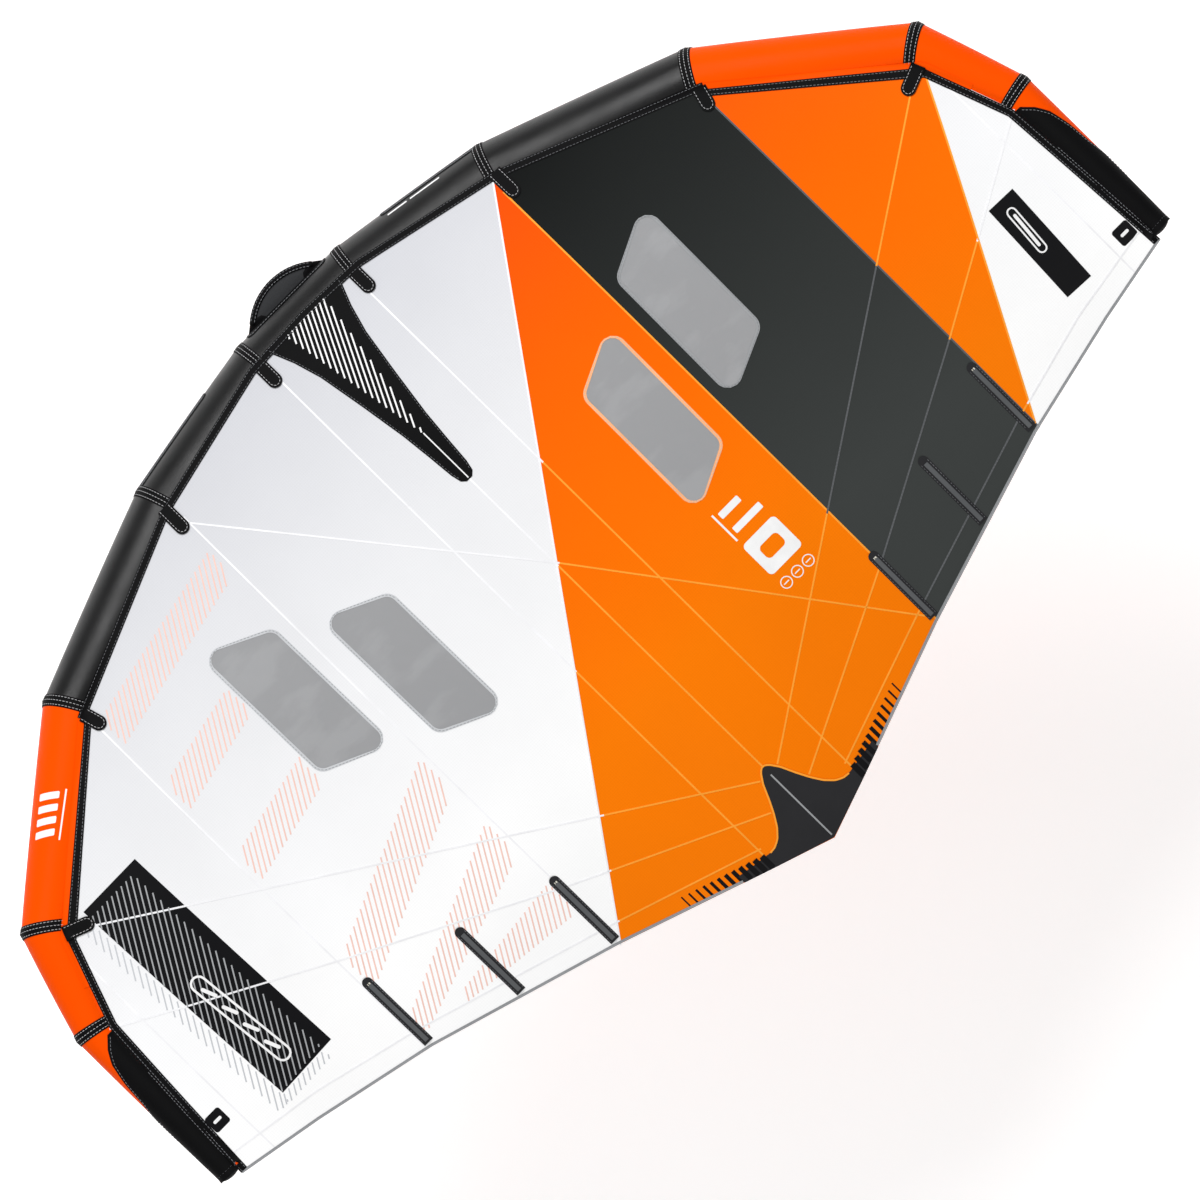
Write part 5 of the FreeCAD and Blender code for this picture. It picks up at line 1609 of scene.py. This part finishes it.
# sewn tapes round the strut's panel seams and its rear end
build = Build()
threads = Build()
for seam in STRUT_SEAMS + (STRUT_BACK - 0.014,):
    profile = [(-0.012, 0.0009), (-0.010, 0.0014), (0.010, 0.0014), (0.012, 0.0009), (0.012, 0.0002),
               (-0.012, 0.0002)]
    add_loops(build, [strut_surface(seam + off, angles, lift) for off, lift in profile])
    for off in (-0.007, 0.007):
        ring = strut_surface(seam + off, full_turn(80), 0.0015)
        stitches(threads, closed(ring), closed(ring - ring.mean(axis=0)))
build.piece("strut_seam_tapes", TRIM)
threads.piece("strut_seam_stitches", GREY_THREAD)

# cloth flaps hold the strut to the canopy
build = Build()
threads = Build()
marks = np.arange(0.265, STRUT_BACK - 0.03, 0.02)
for side in SIDES.values():
    low = strut_surface(marks, math.radians(90 - side * 38), 0.0004)
    x = side * (strut_radius(marks) * 0.62 + 0.010)
    y = low[:, 1]
    high = np.column_stack([x, y, cloth_height(x, y) - CLOTH / 2 - 0.0004])
    out_x = side * (np.abs(x) + 0.014)
    tab = np.column_stack([out_x, y, cloth_height(out_x, y) - CLOTH / 2 - 0.0004])
    lower = strut_surface(marks, math.radians(90 - side * 50), 0.0004)
    sheet_rows = [lower, low, high, tab]
    across = np.array([side * 0.0008, 0, -0.0008])
    shifts = [np.array([side * 0.0008, 0, -0.0004]), across, across, np.array([0, 0, -0.0009])]
    loop = sheet_rows + [row + shift for row, shift in zip(sheet_rows[::-1], shifts[::-1])]
    build.add(np.vstack(loop), skin(len(loop), len(marks), closed=True, caps=True))
    stitch_line = (high + tab) / 2 + [0, 0, -0.0012]
    stitches(threads, stitch_line, np.tile([0.0, 0.0, -1.0], (len(marks), 1)))
build.piece("strut_flaps", TRIM, sharp=60)
threads.piece("strut_flap_stitches", GREY_THREAD)

# ------------------------------------------------------------------ strut handles
HANDLES = {
    "front": (np.array([0, -0.005973, 0.0458736]), np.array([0, 0.9916294, 0.1291164]), 0.04626),
    "rear": (np.array([0, 0.580, 0.0731414]), np.array([0, 0.9991178, -0.0419951]), 0.062),
}
PITCH = 0.310
GRIP_RADIUS = 0.017
GRIP_LENGTH = 0.304
BORE = 0.00605
STRAP_HALF = 0.018
EYE_RADIUS = 0.0061
ANCHOR_HALF = np.array([0.028, 0.034])
anchors = Build()
anchor_threads = Build()
for name, (hinge, along, drop) in HANDLES.items():
    down = np.array([0, along[2], -along[1]])
    right = np.array([1.0, 0, 0])
    centre = hinge + down * drop
    body = f"{name}_handle"
    # the grip: foam with finger grooves, rounded at its ends, bored for the core
    outer = []
    for s in np.linspace(0, GRIP_LENGTH, 153):
        near = min(s, GRIP_LENGTH - s)
        round_off = 0.008 - math.sqrt(max(0.008 ** 2 - max(0.008 - near, 0) ** 2, 0))
        groove = 0.0007 * (0.5 + 0.5 * math.cos(2 * math.pi * s / 0.0152)) * min(near / 0.03, 1)
        outer.append((s, GRIP_RADIUS - round_off - groove))
    profile = outer + [(GRIP_LENGTH, BORE), (GRIP_LENGTH / 2, BORE), (0, BORE)]
    angles = full_turn(40)
    loops = []
    for s, radius in profile:
        place = centre + along * (s - GRIP_LENGTH / 2)
        loops.append(ring_about(place, radius, angles, right, down))
    build = Build()
    add_loops(build, loops)
    grip = build.piece(f"{name}_grip_foam", FOAM, body=body, nodes=[f"{name}_handle_grip"],
                       slot="grip_foam")
    threads = Build()
    for lean in (-0.09, 0.09):
        normal = math.cos(lean) * -down + math.sin(lean) * right
        marks = np.linspace(-GRIP_LENGTH / 2 + 0.012, GRIP_LENGTH / 2 - 0.012, 60)
        path = centre + marks[:, None] * along + normal * (GRIP_RADIUS - 0.0002)
        stitches(threads, path, np.tile(normal, (60, 1)))
    # straps from the anchors on the strut to the core of the grip
    pad_under = 0.012 - 0.0032
    for index, end in enumerate((-0.5, 0.5)):
        root = hinge + along * end * PITCH
        half = [(0.0150, -pad_under), (0.0105, -0.006), (0.0075, -0.002), (0.0070, 0.003),
                (0.0105, 0.012), (0.0155, 0.021), (STRAP_HALF, 0.029)]
        foot_turn = np.linspace(math.pi / 2, -math.pi / 2, 15)
        foot = [(STRAP_HALF * math.sin(a), drop + STRAP_HALF * math.cos(a)) for a in foot_turn]
        outline = np.array(half + foot + [(-x, d) for x, d in half[::-1]])
        eye = np.array([(EYE_RADIUS * math.cos(a), drop + EYE_RADIUS * math.sin(a)) for a in full_turn(20)])
        flat, triangles = fill(outline, [eye], 0.0035)
        count = len(flat)
        base = root + flat[:, :1] * right + flat[:, 1:] * down
        verts = np.vstack([base + along * 0.0019, base - along * 0.0019])
        faces = [tuple(t) for t in triangles] + [tuple(t[::-1] + count) for t in triangles]
        faces += [(b, a, a + count, b + count) for a, b in boundary_edges(triangles)]
        build = Build()
        build.add(verts, faces)
        nodes = [f"{name}_handle_straps"] if index == 0 else []
        strap = build.piece(f"{name}_strap_{index + 1}", WEBBING, body=None, nodes=nodes, slot="webbing")
        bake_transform(strap)
        sewn = [[(x, 0.024), (x, drop + 0.004)] for x in (0.0145, -0.0145)]
        sewn += [[(-0.012, d), (0.012, d)] for d in (0.022, drop - 0.010)]
        for face_side in (-1, 1):
            for line in sewn:
                line = np.array(line)
                path = root + line[:, :1] * right + line[:, 1:] * down + along * face_side * 0.0021
                path = walk(path, 0.004)
                facing = np.tile(along * face_side, (len(path), 1))
                stitches(threads, path, facing, pitch=0.006, length=0.004)
        # the anchor: a sewn pad on the strut's underside
        at = root[1] - NOSE_Y
        radius = float(strut_radius(at))

        def pad_surface(s, a, lift, at=at, radius=radius):
            return strut_surface(at + s, -math.pi / 2 + a / radius, lift)

        wide, tall = ANCHOR_HALF
        pad = box_outline(-wide, wide, -tall, tall, 0.010)
        mapped_layer(anchors, pad, pad_surface, 0.0002, 0.0030, spacing=0.006)
        for inset in (0.004, 0.009):
            wide, tall = ANCHOR_HALF - inset
            edge = box_outline(-wide, wide, -tall, tall, 0.008)
            mapped_stitches(anchor_threads, closed(edge), pad_surface, 0.0031, pitch=0.006, length=0.004)
    threads.piece(f"{name}_handle_stitches", GREY_THREAD, body=body)
anchors.piece("handle_anchor_pads", TRIM, nodes=["handle_anchors"], slot="trim_black", sharp=60)
anchor_threads.piece("handle_anchor_stitches", GREY_THREAD)

# ------------------------------------------------------------------ leash loop
LOOP_CENTRE = np.array([0, -0.466, -0.10726])
build = Build()
LOOP_HALF = 0.0125
LOOP_OUTER = 0.0101
profile = [(-LOOP_HALF, 0.0098), (-0.0120, LOOP_OUTER), (0.0120, LOOP_OUTER), (LOOP_HALF, 0.0098),
           (LOOP_HALF, 0.0080), (-LOOP_HALF, 0.0080)]
angles = full_turn(40)
loops = []
for x, radius in profile:
    ring = np.column_stack([np.full(len(angles), x), radius * np.cos(angles), radius * np.sin(angles)])
    loops.append(LOOP_CENTRE + ring)
add_loops(build, loops)
surface = tube_surface(0, 1, -(math.pi - math.acos(0.045 / 0.104)))
loop_foot = box_outline(middle_s - LOOP_HALF, middle_s + LOOP_HALF, -0.032, 0.032, 0.003)
mapped_layer(build, loop_foot, surface, 0.0003, 0.0038, spacing=0.006)
build.piece("leash_loop_webbing", WEBBING, nodes=["leash_loop"], slot="webbing", sharp=60)
threads = Build()
for a, b in ((-0.029, -0.012), (0.012, 0.029)):
    near, far = middle_s - 0.010, middle_s + 0.010
    for line in (closed(box_outline(near, far, a, b, 0.001)), [(near, a), (far, b)], [(near, b), (far, a)]):
        mapped_stitches(threads, line, surface, 0.0040, pitch=0.005, length=0.0035, step=0.003)
for x in (-0.009, 0.009):
    low_angles = np.linspace(-math.pi * 0.95, -math.pi * 0.05, 30)
    arc = 0.0103 * np.column_stack([np.cos(low_angles), np.sin(low_angles)])
    path = LOOP_CENTRE + np.column_stack([np.full(len(arc), x), arc])
    stitches(threads, path, path - LOOP_CENTRE - [x, 0, 0], pitch=0.005, length=0.0035)
threads.piece("leash_loop_stitches", LIGHT_THREAD)

# ------------------------------------------------------------------ looks of the CAD pieces that stay
KEPT = {"le_bladder": BLADDER, "strut_bladder": BLADDER, "battens": BATTEN, "valve_body": PLASTIC,
        "valve_cap": PLASTIC, "valve_poppet": POPPET, "hose_fittings": PLASTIC, "front_handle_core": CORE,
        "rear_handle_core": CORE}
for node, material in KEPT.items():
    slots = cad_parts[node].data.materials
    for index in range(max(1, len(slots))):
        if len(slots) > index:
            slots[index] = material
        else:
            slots.append(material)
